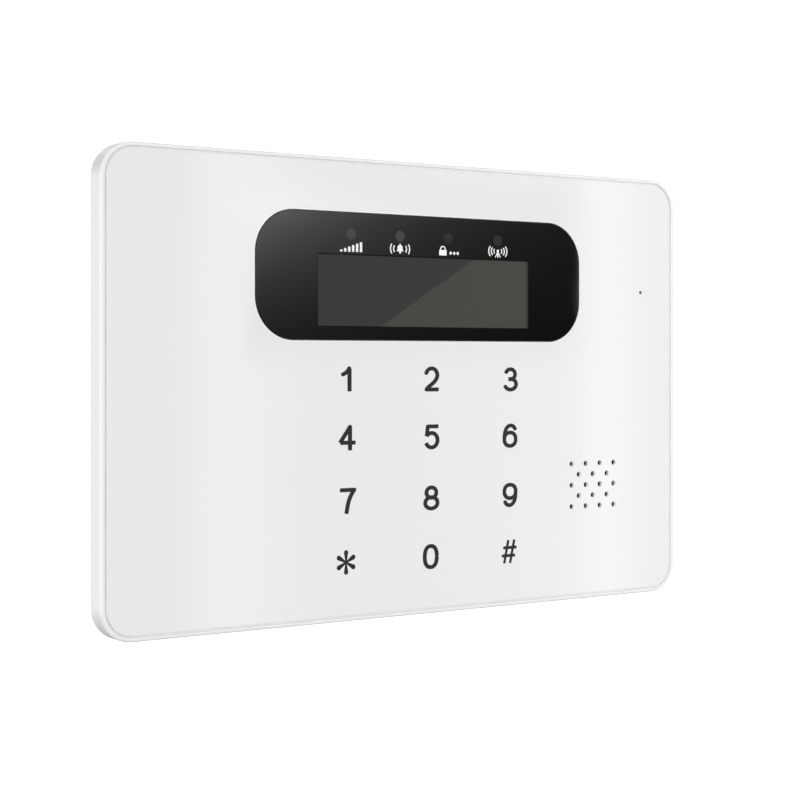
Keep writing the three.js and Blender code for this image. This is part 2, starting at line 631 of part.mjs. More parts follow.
addPiece('speaker_cone', speakerCone(), 'cone');
addPiece('speaker_gasket', speakerGasket(), 'blackRubber');
addPiece('speaker_lead', lead([
  [61.6, -13.1, -18.4], [61, -12.9, -14], [58, -12.9, -6], [52, -12.9, 0], [46, -12.8, 2],
], 0.45, 16), 'redLead');
addPiece('microphone', microphone(), 'steel');
addPiece('microphone_boot', microphoneBoot(), 'blackRubber');
addPiece('dc_socket', dcSocket(), 'blackMatte');
addPiece('terminal_block', terminalBlock(), 'terminal');
addPiece('power_switch_body', switchBody(), 'steel');
addPiece('power_switch_slider', switchSlider(), 'blackMatte');
addPiece('tamper_switch_body', tamperBody(), 'blackMatte');
addPiece('tamper_plunger', tamperPlunger(), 'whiteSatin');
addPiece('tamper_spring', tamperSpring(), 'steel');
addPiece('rear_housing', rearHousing(), 'whiteSatin');
CORNERS.forEach(([x, z], index) => {
  addPiece(`case_screw_${index + 1}`, screw(x, z, CASE_SCREW_SHAPE), 'steel');
});
BOARD_SCREWS.forEach(([x, z], index) => {
  addPiece(`board_screw_${index + 1}`, screw(x, z, BOARD_SCREW_SHAPE), 'steel');
});

export default panel;
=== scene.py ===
import math
from math import cos, pi, radians, sin

import bmesh
import bpy
from mathutils import Matrix, Vector
from mathutils.geometry import delaunay_2d_cdt


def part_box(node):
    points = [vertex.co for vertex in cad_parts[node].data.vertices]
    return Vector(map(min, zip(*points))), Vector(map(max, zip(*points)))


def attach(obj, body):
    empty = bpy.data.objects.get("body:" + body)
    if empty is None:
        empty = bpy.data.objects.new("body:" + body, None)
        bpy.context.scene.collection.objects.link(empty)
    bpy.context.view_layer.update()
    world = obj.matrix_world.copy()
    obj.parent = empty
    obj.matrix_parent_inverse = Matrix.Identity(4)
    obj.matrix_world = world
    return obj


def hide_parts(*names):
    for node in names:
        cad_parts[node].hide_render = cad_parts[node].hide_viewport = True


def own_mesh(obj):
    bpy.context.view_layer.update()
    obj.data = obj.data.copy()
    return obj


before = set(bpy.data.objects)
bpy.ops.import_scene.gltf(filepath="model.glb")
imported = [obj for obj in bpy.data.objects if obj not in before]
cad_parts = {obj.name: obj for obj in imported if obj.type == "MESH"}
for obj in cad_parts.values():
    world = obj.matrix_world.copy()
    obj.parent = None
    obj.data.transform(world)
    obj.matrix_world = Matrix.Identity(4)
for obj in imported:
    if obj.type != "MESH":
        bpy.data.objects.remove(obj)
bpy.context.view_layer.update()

MM = 0.001
SHELL_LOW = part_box("front_shell")[0]  # metres
FACE_Y = SHELL_LOW.y  # metres
LED_X = [(sum(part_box(f"status_led_{n}"), Vector()) / 2).x / MM for n in (1, 2, 3, 4)]
LED_Z = 41.06

# The front: rounded rectangles are (width, height, corner radius, x, z).
FACE = -22.0
BEZEL = (107.0, 33.7, 11.4, 2.94, 29.86)
LCD = (69.5, 19.2, 0.3, 2.85, 26.1)
LCD_REAR = (75, 23.6, 0.4, 2.85, 26.1)


def place(name, data):
    thing = bpy.data.objects.new(name, data)
    bpy.context.scene.collection.objects.link(thing)
    return thing


# ---- Camera ----
CAMERA_AT = (-274.2, -395.4, 8.06)  # from the centre of the front face
CAMERA_YAW = 34.147  # degrees to the right of straight at the wall
CAMERA_LENS = 79.93
CAMERA_SENSOR = 36
CAMERA_SHIFT_Y = -0.0514
CAMERA_CLIP = (0.01, 50)  # metres


def make_camera():
    data = bpy.data.cameras.new("camera")
    data.lens, data.sensor_width, data.shift_y = CAMERA_LENS, CAMERA_SENSOR, CAMERA_SHIFT_Y
    data.clip_start, data.clip_end = CAMERA_CLIP
    camera = place("camera", data)
    x, y, z = CAMERA_AT
    camera.location = (x * MM, y * MM + FACE_Y, z * MM)
    camera.rotation_euler = (radians(90), 0, radians(-CAMERA_YAW))
    bpy.context.scene.camera = camera


# ---- Node helpers: each finds its node tree from a socket that it is given ----
def link(source, target):
    target.id_data.links.new(source, target)


def math_node(operation, *values):
    """A math node on numbers and sockets, at least one of them a socket."""
    tree = next(v.id_data for v in values if not isinstance(v, (int, float)))
    node = tree.nodes.new("ShaderNodeMath")
    node.operation = operation
    for socket, value in zip(node.inputs, values):
        if isinstance(value, (int, float)):
            socket.default_value = value
        else:
            link(value, socket)
    return node.outputs[0]


def plus(first, second):
    return math_node("ADD", first, second)


def minus(first, second):
    return math_node("SUBTRACT", first, second)


def times(first, second):
    return math_node("MULTIPLY", first, second)


def map_range(value, low, high, to_low=0.0, to_high=1.0, smooth=True):
    node = value.id_data.nodes.new("ShaderNodeMapRange")
    node.interpolation_type = "SMOOTHSTEP" if smooth else "LINEAR"
    link(value, node.inputs["Value"])
    for name, number in zip(("From Min", "From Max", "To Min", "To Max"), (low, high, to_low, to_high)):
        node.inputs[name].default_value = number
    return node.outputs["Result"]


def blend_values(first, second, factor):
    """first where factor is 0, second where it is 1."""
    return plus(first, times(minus(second, first), factor))


def mix_colors(factor, first, second):
    node = factor.id_data.nodes.new("ShaderNodeMix")
    node.data_type = "RGBA"
    link(factor, node.inputs["Factor"])
    for socket, value in zip([s for s in node.inputs if s.type == "RGBA"], (first, second)):
        if isinstance(value, tuple):
            socket.default_value = (*value, 1)
        else:
            link(value, socket)
    return next(s for s in node.outputs if s.type == "RGBA")


def noise(position, per_mm, detail=3.0, stretch=(1, 1, 1)):
    """A grey noise between 0 and 1, with about per_mm cells to a millimetre."""
    tree = position.id_data
    mapping = tree.nodes.new("ShaderNodeMapping")
    mapping.inputs["Scale"].default_value = [per_mm * s for s in stretch]
    link(position, mapping.inputs[0])
    node = tree.nodes.new("ShaderNodeTexNoise")
    node.inputs["Scale"].default_value = 1
    node.inputs["Detail"].default_value = detail
    link(mapping.outputs[0], node.inputs["Vector"])
    return node.outputs["Fac"]


def stripes(along, pitch, low, high):
    """1 on lines at this pitch, 0 between them. They fade from low to high, in shares of a pitch."""
    return map_range(math_node("PINGPONG", times(along, 1 / pitch), 0.5), low, high, 1, 0)


LOOKS = {}  # every material, by its name in this file


def new_material(name, base, roughness, metallic=0.0, specular=0.5):
    """Returns the shader, the position in the object's own frame in mm, and the X, Y and Z of that."""
    material = bpy.data.materials.new(name)
    material.use_nodes = True
    tree = material.node_tree
    shader = tree.nodes["Principled BSDF"]
    shader.inputs["Base Color"].default_value = (*base, 1)
    shader.inputs["Roughness"].default_value = roughness
    shader.inputs["Metallic"].default_value = metallic
    shader.inputs["Specular IOR Level"].default_value = specular
    coords = tree.nodes.new("ShaderNodeTexCoord")
    scale = tree.nodes.new("ShaderNodeVectorMath")
    scale.operation = "SCALE"
    scale.inputs["Scale"].default_value = 1 / MM
    link(coords.outputs["Object"], scale.inputs[0])
    split = tree.nodes.new("ShaderNodeSeparateXYZ")
    link(scale.outputs[0], split.inputs[0])
    LOOKS[name] = material
    return shader, scale.outputs[0], split.outputs


def paint(shader, color):
    link(color, shader.inputs["Base Color"])


def vary_gloss(shader, value, low, high, *roughness):
    """Roughness that runs between two amounts while value runs from low to high."""
    link(map_range(value, low, high, *roughness), shader.inputs["Roughness"])


def add_bump(shader, height, distance):
    bump = shader.id_data.nodes.new("ShaderNodeBump")
    bump.inputs["Distance"].default_value = distance * MM
    link(height, bump.inputs["Height"])
    link(bump.outputs[0], shader.inputs["Normal"])


def scaled(color, factor):
    return tuple(c * factor for c in color)


# ---- Materials ----
LED_SPOT_R = 1.5
LED_TONES = (0.028, 0.04, 0.017, 0.0225)
BEZEL_HALO_FADE = (0.2, 0.55)  # where the painted highlight round the bezel, a paler band on the plate, fades out, outside the bezel's edge
LCD_SHEEN_X = (-12.5, 19.1)  # X of the slanting edge of the LCD's painted reflection, at the LCD's lower and upper edge: the LCD is painted paler right of it
LCD_SHEEN_Z = (16.5, 35.7)
LCD_CELL = 0.62
TRACK_PITCH = 1.27


def moulded(name, base, roughness, grain_per_mm=4.0, grain_height=0.01, mottle=0.02):
    """Moulded plastic: a fine grain, and a colour and a gloss that vary a little."""
    shader, position, _ = new_material(name, base, roughness)
    paint(shader, mix_colors(noise(position, 0.06), scaled(base, 1 - mottle), base))
    fine = noise(position, grain_per_mm, 2.0)
    vary_gloss(shader, fine, 0.3, 0.7, roughness * 0.85, roughness * 1.15)
    add_bump(shader, fine, grain_height)


def metal(name, base, roughness, stretch=(1, 1, 1)):
    shader, position, _ = new_material(name, base, roughness, 1.0)
    grain = noise(position, 3.0, 4.0, stretch)
    paint(shader, mix_colors(grain, scaled(base, 0.85), base))
    vary_gloss(shader, grain, 0.3, 0.7, roughness * 0.7, roughness * 1.3)
    add_bump(shader, grain, 0.004)


def ink(name, base, specular=0.5):
    shader, position, _ = new_material(name, base, 0.42, specular=specular)
    grain = noise(position, 6.0, 2.0)
    paint(shader, mix_colors(grain, scaled(base, 0.9), base))
    vary_gloss(shader, grain, 0.3, 0.7, 0.36, 0.5)


def rounded_distance(axes, size):
    """How far a point is outside a rounded rectangle."""
    w, h, r, x, z = size
    past = []
    for axis, centre, half in (("X", x, w / 2 - r), ("Z", z, h / 2 - r)):
        off = math_node("ABSOLUTE", minus(axes[axis], centre))
        past.append(math_node("MAXIMUM", minus(off, half), 0.0))
    return minus(math_node("SQRT", plus(*[times(p, p) for p in past])), r)


def touch_plate_material():
    """Polished white acrylic: faint smears that dull the gloss, and a painted highlight, a paler band round
    the bezel.
    """
    base = (0.822, 0.823, 0.827)
    shader, position, axes = new_material("touch_plate_gloss", base, 0.05)
    smears = noise(position, 0.05, 5.0, (1, 1, 0.4))
    vary_gloss(shader, smears, 0.35, 0.75, 0.045, 0.085)
    color = mix_colors(smears, scaled(base, 0.992), base)
    # painted highlight: the plate is painted paler just outside the bezel's edge.
    lip = map_range(rounded_distance(axes, BEZEL), *BEZEL_HALO_FADE, 1, 0)
    paint(shader, mix_colors(lip, color, (0.96, 0.96, 0.96)))
    add_bump(shader, noise(position, 0.12, 0.0), 0.0015)


def bezel_material():
    """Glossy black acrylic, printed black behind, with four thin spots where the LEDs shine through."""
    color = (0.002, 0.002, 0.0022)
    shader, position, axes = new_material("smoked_bezel", color, 0.03)
    for x, tone in zip(LED_X, LED_TONES):
        dx, dz = minus(axes["X"], x), minus(axes["Z"], LED_Z)
        away = math_node("SQRT", plus(times(dx, dx), times(dz, dz)))
        inside = map_range(away, LED_SPOT_R - 0.08, LED_SPOT_R + 0.08, 1, 0)
        color = mix_colors(inside, color, (tone, tone, tone * 0.97))
    paint(shader, color)
    vary_gloss(shader, noise(position, 0.08, 4.0), 0.35, 0.7, 0.02, 0.04)


def lcd_material():
    """A switched-off display: an anti-glare film, a painted reflection that makes it paler right of a
    slanting line, and a faint grid of cells.
    """
    # dark is the display's own colour; light is the tone of a painted reflection on it.
    dark, light = (0.0045, 0.0045, 0.0008), (0.024, 0.0275, 0.0175)
    shader, position, axes = new_material("lcd_glass", dark, 0.38)
    run = (LCD_SHEEN_X[1] - LCD_SHEEN_X[0]) / (LCD_SHEEN_Z[1] - LCD_SHEEN_Z[0])
    sheen_edge = plus(times(minus(axes["Z"], LCD_SHEEN_Z[0]), run), LCD_SHEEN_X[0])
    # painted reflection: the colour turns from dark to a paler sheen right of the slanting line.
    tone = mix_colors(map_range(minus(axes["X"], sheen_edge), -0.25, 0.25), dark, light)
    cells = [stripes(axes[axis], LCD_CELL, 0.0, 0.06) for axis in "XZ"]
    grid = times(math_node("MAXIMUM", *cells), 0.18)
    paint(shader, mix_colors(grid, tone, (0.012, 0.012, 0.01)))
    add_bump(shader, noise(position, 12.0, 1.0), 0.002)


def circuit_board_material():
    """Green solder mask over copper tracks, which run across in some patches and upwards in others."""
    shader, position, axes = new_material("circuit_board", (0.02, 0.12, 0.06), 0.35)
    tracks = [stripes(axes[axis], TRACK_PITCH, 0.1, 0.14) for axis in "XZ"]
    patch = map_range(noise(position, 0.09, 0.0), 0.49, 0.51)
    bare = map_range(noise(position, 0.14, 0.0), 0.5, 0.52)
    lines = times(blend_values(*tracks, patch), bare)
    paint(shader, mix_colors(lines, (0.008, 0.075, 0.035), (0.03, 0.2, 0.08)))
    vary_gloss(shader, lines, 0, 1, 0.38, 0.26)
    add_bump(shader, lines, 0.03)


def flex_material():
    """Amber polyimide film with copper lines that run up it."""
    shader, position, axes = new_material("flex_circuit", (0.45, 0.16, 0.03), 0.3)
    lines = stripes(axes["X"], 1.0, 0.2, 0.26)
    cloud = noise(position, 0.3)
    amber = mix_colors(cloud, (0.36, 0.12, 0.02), (0.46, 0.17, 0.03))
    paint(shader, mix_colors(lines, amber, (0.62, 0.27, 0.08)))
    vary_gloss(shader, cloud, 0.3, 0.7, 0.24, 0.36)
    add_bump(shader, lines, 0.02)


# Moulded pieces: colour, roughness, grains to a mm, height of the grain, share of mottle.
moulded("shell_plastic", (0.86, 0.862, 0.866), 0.16, 2.0, 0.002, 0.01)
moulded("housing_plastic", (0.84, 0.845, 0.85), 0.42, 3.0, 0.012)
moulded("bracket_plastic", (0.82, 0.825, 0.83), 0.46, 3.0, 0.014)
moulded("black_plastic", (0.02, 0.02, 0.022), 0.45)
moulded("black_rubber", (0.018, 0.018, 0.02), 0.75, 5.0, 0.02)
moulded("terminal_plastic", (0.03, 0.25, 0.08), 0.4)
moulded("milky_plastic", (0.8, 0.82, 0.78), 0.35)
moulded("led_epoxy", (0.45, 0.46, 0.46), 0.16, 1.0, 0.002)
moulded("card_plastic", (0.82, 0.83, 0.83), 0.35, 5.0, 0.006)
moulded("plunger_plastic", (0.78, 0.79, 0.79), 0.32, 2.0, 0.004)
moulded("battery_wrap", (0.05, 0.16, 0.38), 0.3, 0.5, 0.08, 0.15)
moulded("cone_paper", (0.03, 0.03, 0.034), 0.8, 2.5, 0.04, 0.25)
moulded("cable_red", (0.5, 0.02, 0.015), 0.4, 2.0, 0.005, 0.08)
moulded("cable_black", (0.015, 0.015, 0.016), 0.45, 2.0, 0.005, 0.08)
metal("steel", (0.55, 0.56, 0.58), 0.3)
metal("shield_can", (0.62, 0.63, 0.65), 0.3, (1, 1, 0.15))
metal("screw_steel", (0.42, 0.43, 0.45), 0.32)
metal("spring_steel", (0.5, 0.51, 0.53), 0.22)
metal("copper_wire", (0.72, 0.38, 0.2), 0.28)
metal("gold_contacts", (0.83, 0.58, 0.24), 0.25)
ink("key_ink", (0.012, 0.012, 0.0125), 0.3)
ink("sign_ink", (0.95, 0.95, 0.95))
touch_plate_material()
bezel_material()
lcd_material()
circuit_board_material()
flex_material()


# ---- Printed signs: strokes joined into flat plates ----
INK_REACH = 0.02  # how far printing stands out of the face, and how far it reaches in
INK_SLIVER = 0.006  # shorter edges in a sign's outline are merged
KEY_INK = 1.08  # height of a digit's level strokes
STEM = 1.2  # how much wider its upright strokes are
DIGIT_SCALE = (1.03, 1.045)
LED_SIGN_Z = 37.65


def arc(x, z, rx, rz, start, end, steps=18):
    angles = [radians(start + (end - start) * n / steps) for n in range(steps + 1)]
    return [(x + rx * cos(a), z + rz * sin(a)) for a in angles]


def disc(x, z, radius, sides=20):
    angles = [2 * pi * n / sides for n in range(sides)]
    return [(x + radius * cos(a), z + radius * sin(a)) for a in angles]


def bar(start, end, half):
    a, b = Vector(start), Vector(end)
    along = (b - a).normalized()
    side = Vector((-along.y, along.x)) * half
    return [tuple(a - side), tuple(b - side), tuple(b + side), tuple(a + side)]


def stroke(path, width, corner=0.2):
    """Convex outlines that together cover a line of even width, its ends square with rounded corners."""
    points = [Vector(p) for p in path]
    half = width / 2
    corner = min(corner, half)
    ends = [(points[0] - points[1]).normalized(), (points[-1] - points[-2]).normalized()]
    points[0] -= ends[0] * corner
    points[-1] -= ends[1] * corner
    outlines = [bar(a, b, half) for a, b in zip(points, points[1:]) if (b - a).length > 1e-6]
    outlines += [disc(p.x, p.y, half) for p in points[1:-1]]
    for tip, out in zip((points[0], points[-1]), ends):
        side = Vector((-out.y, out.x)) * (half - corner)
        if side.length > 1e-6:
            outlines.append(bar(tip, tip + out * corner, half - corner))
        outlines += [disc(*(tip + side), corner, 12), disc(*(tip - side), corner, 12)]
    return outlines


def flat_union(outlines):
    """Joins overlapping outlines, and returns the points and triangles of their union."""
    points, faces = [], []
    for corners in outlines:
        area = sum(a[0] * b[1] - b[0] * a[1] for a, b in zip(corners, [*corners[1:], corners[0]]))
        faces.append(list(range(len(points), len(points) + len(corners))))
        points += [Vector(p) for p in (corners if area > 0 else reversed(corners))]
    result = delaunay_2d_cdt(points, [], faces, 1, 1e-5)
    made, triangles, origins = result[0], result[2], result[5]
    return made, [t for t, origin in zip(triangles, origins) if origin]


def print_sign(name, outlines, x, z, look):
    """A printed sign on the front face, as a thin closed plate."""
    points, triangles = flat_union(outlines)
    bm = bmesh.new()
    verts = [bm.verts.new(((x + p.x) * MM, FACE_Y + INK_REACH * MM, (z + p.y) * MM)) for p in points]
    for triangle in triangles:
        bm.faces.new([verts[n] for n in triangle])
    bmesh.ops.delete(bm, geom=[v for v in bm.verts if not v.link_faces], context="VERTS")
    bmesh.ops.dissolve_limit(bm, angle_limit=0.001, verts=bm.verts, edges=bm.edges)
    bmesh.ops.dissolve_degenerate(bm, edges=bm.edges, dist=INK_SLIVER * MM)
    bmesh.ops.triangulate(bm, faces=bm.faces)
    bmesh.ops.delete(bm, geom=[e for e in bm.edges if e.is_wire], context="EDGES")
    for item in bmesh.ops.extrude_face_region(bm, geom=bm.faces[:])["geom"]:
        if isinstance(item, bmesh.types.BMVert):
            item.co.y -= 2 * INK_REACH * MM
    piece = new_piece(bm)
    piece.name = name
    piece.data.materials.append(LOOKS[look])
    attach(piece, "panel")


def smooth_path(points, steps=6):
    """A Catmull-Rom curve through the points."""
    pts = [Vector(p) for p in points]
    pts = [2 * pts[0] - pts[1], *pts, 2 * pts[-1] - pts[-2]]
    path = []
    for a, b, c, d in zip(pts, pts[1:], pts[2:], pts[3:]):
        for n in range(steps):
            t = n / steps
            path.append(0.5 * ((2 * b) + (c - a) * t + (2 * a - 5 * b + 4 * c - d) * t ** 2
                               + (3 * b - a - 3 * c + d) * t ** 3))
    return [tuple(p) for p in [*path, pts[-2]]]


def loop(x, z, rx, rz, power=2.0, steps=40):
    """A closed curve: an ellipse, or a squarer one where power is over 2."""
    path = []
    for n in range(steps + 1):
        c, s = cos(2 * pi * n / steps), sin(2 * pi * n / steps)
        across, up = abs(c) ** (2 / power), abs(s) ** (2 / power)
        path.append((x + rx * math.copysign(across, c), z + rz * math.copysign(up, s)))
    return path


SIX = [smooth_path([(1.8, 1.72), (1.15, 2.48), (0.1, 2.74), (-1.0, 2.25), (-1.72, 1.0), (-1.95, -0.6)]),
       loop(0, -0.95, 1.95, 1.8, 2.2)]
TWO_NECK = smooth_path([(1.78, 0.55), (1.3, -0.3), (0.2, -1.25), (-1.1, -2.15), (-1.7, -2.75)])
DIGITS = {
    "0": [loop(0, 0, 1.95, 2.75, 2.35)],
    "1": [[(0.95, -3.25), (0.95, 2.5)],
          smooth_path([(0.95, 2.75), (0.35, 1.9), (-0.3, 1.42), (-1.15, 1.02)])],
    "2": [[*arc(0, 0.93, 1.85, 1.82, 170, -8), *TWO_NECK, (2.3, -2.75)]],
    "3": [[*arc(-0.05, 1.38, 1.6, 1.37, 168, -90), (-0.75, 0.06)],
          [(-0.75, 0.06), *arc(-0.05, -1.3, 1.95, 1.45, 84, -168)]],
    "4": [[(0.9, -3.25), (0.9, 2.7), (-2.1, -1.27)], [(-2.1, -1.3), (2.6, -1.3)]],
    "5": [[(2.2, 2.75), (-1.25, 2.75), (-1.62, 0.2)], arc(-0.02, -0.85, 1.93, 1.9, 146, -160)],
    "6": SIX,
    "7": [[(-2.45, 2.75), *smooth_path([(1.9, 2.75), (0.9, 1.35), (0.1, -0.5), (-0.5, -3.25)])]],
    "8": [loop(0, 1.4, 1.6, 1.35), loop(0, -1.28, 2.0, 1.47)],
    "9": [[(-x, -z) for x, z in path] for path in SIX],
}


def star_outlines():
    outlines = []
    for n in range(6):
        angle = radians(90 + 60 * n)
        out = Vector((cos(angle), sin(angle)))
        side = Vector((-out.y, out.x))
        tip = out * 2.6
        corners = (-side * 0.2, tip - side * 0.66, tip + side * 0.66, side * 0.2)
        outlines.append([tuple(corner) for corner in corners])
        outlines.append(disc(*tip, 0.66))
    return [*outlines, disc(0, 0, 0.36)]


def hash_outlines():
    paths = [[(-1.78, -3.25), (-0.3, 3.25)], [(0.3, -3.25), (1.78, 3.25)],
             [(-2.1, 1.12), (2.6, 1.12)], [(-2.6, -1.12), (2.1, -1.12)]]
    return [o for path in paths for o in stroke(path, 0.84, 0.12)]


def digit_outlines(digit):
    wide, high = DIGIT_SCALE
    paths = [[(x * wide / STEM, z * high) for x, z in path] for path in DIGITS[digit]]
    outlines = [o for path in paths for o in stroke(path, KEY_INK, 0.18)]
    return [[(x * STEM, z) for x, z in corners] for corners in outlines]


# Centre of each key's sign.
KEYS = {"1": (-23.1, 2.85), "2": (4.4, 2.6), "3": (31.5, 2.3), "4": (-22.9, -12.7), "5": (4.4, -13.2),
        "6": (31.3, -13.5), "7": (-22.6, -29.4), "8": (4.3, -29.8), "9": (31.3, -30.15),
        "star": (-23.2, -45.6),
        "0": (4.1, -45.75), "hash": (31.0, -46.0)}
OTHER_KEYS = {"star": star_outlines, "hash": hash_outlines}


# Generic signs under the status LEDs, each about 7 mm wide and 2.6 mm high.
def strength_sign():
    return [bar((-3.1 + 1.24 * n, -1.3), (-3.1 + 1.24 * n, -0.8 + 0.42 * n), 0.36) for n in range(6)]


def waves(radii, spread, squeeze, z=0.0):
    outlines = []
    for side in (1, -1):
        for radius in radii:
            path = [(side * px, z + pz) for px, pz in arc(0, 0, radius, radius * squeeze, -spread, spread, 8)]
            outlines += stroke(path, 0.36, 0.1)
    return outlines


def bell_sign():
    dome = [(-1.15, -0.66), (1.15, -0.66), (0.85, -0.2), *arc(0, 0.25, 0.85, 0.85, 0, 180, 14), (-0.85, -0.2)]
    return [dome, disc(0, -0.95, 0.32), disc(0, 1.2, 0.2), *waves((2.1, 3.1), 30, 0.85)]


def padlock_sign():
    body = [(-3.1, -1.3), (-0.6, -1.3), (-0.6, 0.2), (-3.1, 0.2)]
    shackle = stroke([(-2.6, 0.1), *arc(-1.85, 0.5, 0.75, 0.66, 180, 0, 12), (-1.1, 0.1)], 0.36, 0.1)
    return [body, *shackle, *[disc(x, -0.6, 0.42) for x in (0.75, 1.95, 3.15)]]


def mast_sign():
    legs = stroke([(-0.9, -1.25), (0, 0.3), (0.9, -1.25)], 0.32, 0.1)
    return [bar((0, -1.3), (0, 0.4), 0.2), disc(0, 0.55, 0.4), *legs, *waves((1.4, 2.3, 3.2), 36, 0.75, 0.45)]


LED_SIGNS = {"strength": strength_sign, "bell": bell_sign, "padlock": padlock_sign, "mast": mast_sign}


def print_signs():
    for key, (x, z) in KEYS.items():
        outlines = OTHER_KEYS[key]() if key in OTHER_KEYS else digit_outlines(key)
        print_sign(f"printed_key_{key}", outlines, x, z, "key_ink")
    for x, (name, make) in zip(LED_X, LED_SIGNS.items()):
        print_sign(f"printed_sign_{name}", make(), x, LED_SIGN_Z, "sign_ink")


# ---- Fine solids: outlines carried through their depth, then cut and joined ----
SMOOTH_ANGLE = radians(40)  # edges sharper than this stay crisp


def outline(w, h, r, x, z, steps):
    """The corner points of a rounded rectangle in X and Z."""
    right, top = w / 2 - r, h / 2 - r
    corners = ((right, top), (-right, top), (-right, -top), (right, -top))
    angles = [(corner, (corner + n / steps) * pi / 2) for corner in range(4) for n in range(steps + 1)]
    return [(x + corners[c][0] + r * cos(a), z + corners[c][1] + r * sin(a)) for c, a in angles]


def round_over(inset, y, radius, toward, steps=5):
    """Profile points [inset, y] of a quarter round from a wall at this inset onto the face at y.
    toward is 1 if the face looks along -Y, and -1 if it looks along +Y."""
    points = []
    for n in range(steps + 1):
        a = pi / 2 * n / steps
        points.append((inset + radius * (1 - cos(a)), y + toward * radius * (1 - sin(a))))
    return points


def pillow(back, back_round, front, front_round, steps):
    """The profile of a slab whose back and front edges are both rounded."""
    return round_over(0, back, back_round, -1, steps)[::-1] + round_over(0, front, front_round, 1, steps)


def new_piece(bm):
    mesh = bpy.data.meshes.new("tool")
    bmesh.ops.recalc_face_normals(bm, faces=bm.faces)
    bm.to_mesh(mesh)
    bm.free()
    return place("tool", mesh)


def loft(rings, capped=True):
    """A closed solid through rings of 3-D points. Uncapped, its last ring joins its first."""
    bm = bmesh.new()
    rows = [[bm.verts.new([c * MM for c in point]) for point in ring] for ring in rings]
    if capped:
        bm.faces.new(rows[0])
        bm.faces.new(rows[-1])
    for low, high in zip(rows, rows[1:] if capped else rows[1:] + rows[:1]):
        for n in range(len(low)):
            m = (n + 1) % len(low)
            bm.faces.new((low[n], low[m], high[m], high[n]))
    return new_piece(bm)


def slab(size, profile, steps=14):
    """A rounded rectangle carried through a profile of [inset, y]."""
    w, h, r, x, z = size
    rings = []
    for inset, y in profile:
        flat = outline(w - 2 * inset, h - 2 * inset, max(r - inset, 0.05), x, z, steps)
        rings.append([(px, y, pz) for px, pz in flat])
    return loft(rings)


def turned(profile, x, z, sides=40, capped=True):
    """A piece turned about an axis along Y, from [radius, y] points. Uncapped, they are a closed loop."""
    return loft([[(px, y, pz) for px, pz in disc(x, z, radius, sides)] for radius, y in profile], capped)


def turned_z(profile, x, y, sides=40, capped=True):
    """The same about an axis along Z, from [radius, z] points."""
    return loft([[(px, py, z) for px, py in disc(x, y, radius, sides)] for radius, z in profile], capped)


def ring(profile, x, z, sides=48):
    return turned(profile, x, z, sides, False)


def bevel(bm, edges, edge, segments):
    bmesh.ops.bevel(bm, geom=edges, offset=edge * MM, segments=segments, affect="EDGES", profile=0.5)


def block(x0, x1, y0, y1, z0, z1, edge=0.0, segments=2):
    """A box whose edges are rounded by edge."""
    bm = bmesh.new()
    bmesh.ops.create_cube(bm, size=1)
    ranges = ((x0, x1), (y0, y1), (z0, z1))
    for vert in bm.verts:
        vert.co = [(low + high) / 2 * MM + c * (high - low) * MM for c, (low, high) in zip(vert.co, ranges)]
    if edge:
        bevel(bm, bm.edges[:], edge, segments)
    return new_piece(bm)


def wire(path, radius, sides=10):
    """A round wire along a path of 3-D points."""
    points = [Vector(p) for p in path]
    rings, normal, before = [], None, None
    for n, point in enumerate(points):
        along = (points[min(n + 1, len(points) - 1)] - points[max(n - 1, 0)]).normalized()
        normal = before.rotation_difference(along) @ normal if before else along.orthogonal().normalized()
        before, side = along, along.cross(normal)
        angles = [2 * pi * n / sides for n in range(sides)]
        rings.append([tuple(point + radius * (cos(a) * normal + sin(a) * side)) for a in angles])
    return loft(rings)


def ribbon(path, x0, x1, thick=0.25):
    """A flat cable of even thickness along [y, z] points."""
    points = [Vector(p) for p in smooth_path(path, 8)]
    rings = []
    for n, point in enumerate(points):
        along = (points[min(n + 1, len(points) - 1)] - points[max(n - 1, 0)]).normalized()
        side = Vector((-along.y, along.x)) * thick / 2
        (ya, za), (yb, zb) = point + side, point - side
        rings.append([(x0, ya, za), (x1, ya, za), (x1, yb, zb), (x0, yb, zb)])
    return loft(rings)


def grown(size, amount):
    w, h, r, x, z = size
    return (w + 2 * amount, h + 2 * amount, max(r + amount, 0.2), x, z)


def through(size, y0, y1, steps=10):
    return slab(size, [(0, y0), (0, y1)], steps)


def bored(x, z, radius, y0, y1, sides=32):
    return turned([(radius, y0), (radius, y1)], x, z, sides)


def countersunk(x, z, radius, face_y, y1, lip=0.09, sides=28):
    """A tool for a hole with a softly broken edge at the front face."""
    profile = [(radius + 0.6 * lip + 0.5, face_y - 0.5), (radius + lip, face_y),
               (radius + 0.3 * lip, face_y + 0.3 * lip), (radius, face_y + lip), (radius, y1)]
    return turned(profile, x, z, sides)


def cut_edge(size, y, depth, wide=0.2, toward=-1, steps=10):
    """A tool for an opening that runs from a face at y inwards by depth, with a broken edge at the face.
    toward is 1 if the face looks along -Y, and -1 if it looks along +Y."""
    profile = [(-wide - 0.5, y - toward * 0.5), (-wide, y), (0, y + toward * wide), (0, y + toward * depth)]
    return slab(size, profile, steps)


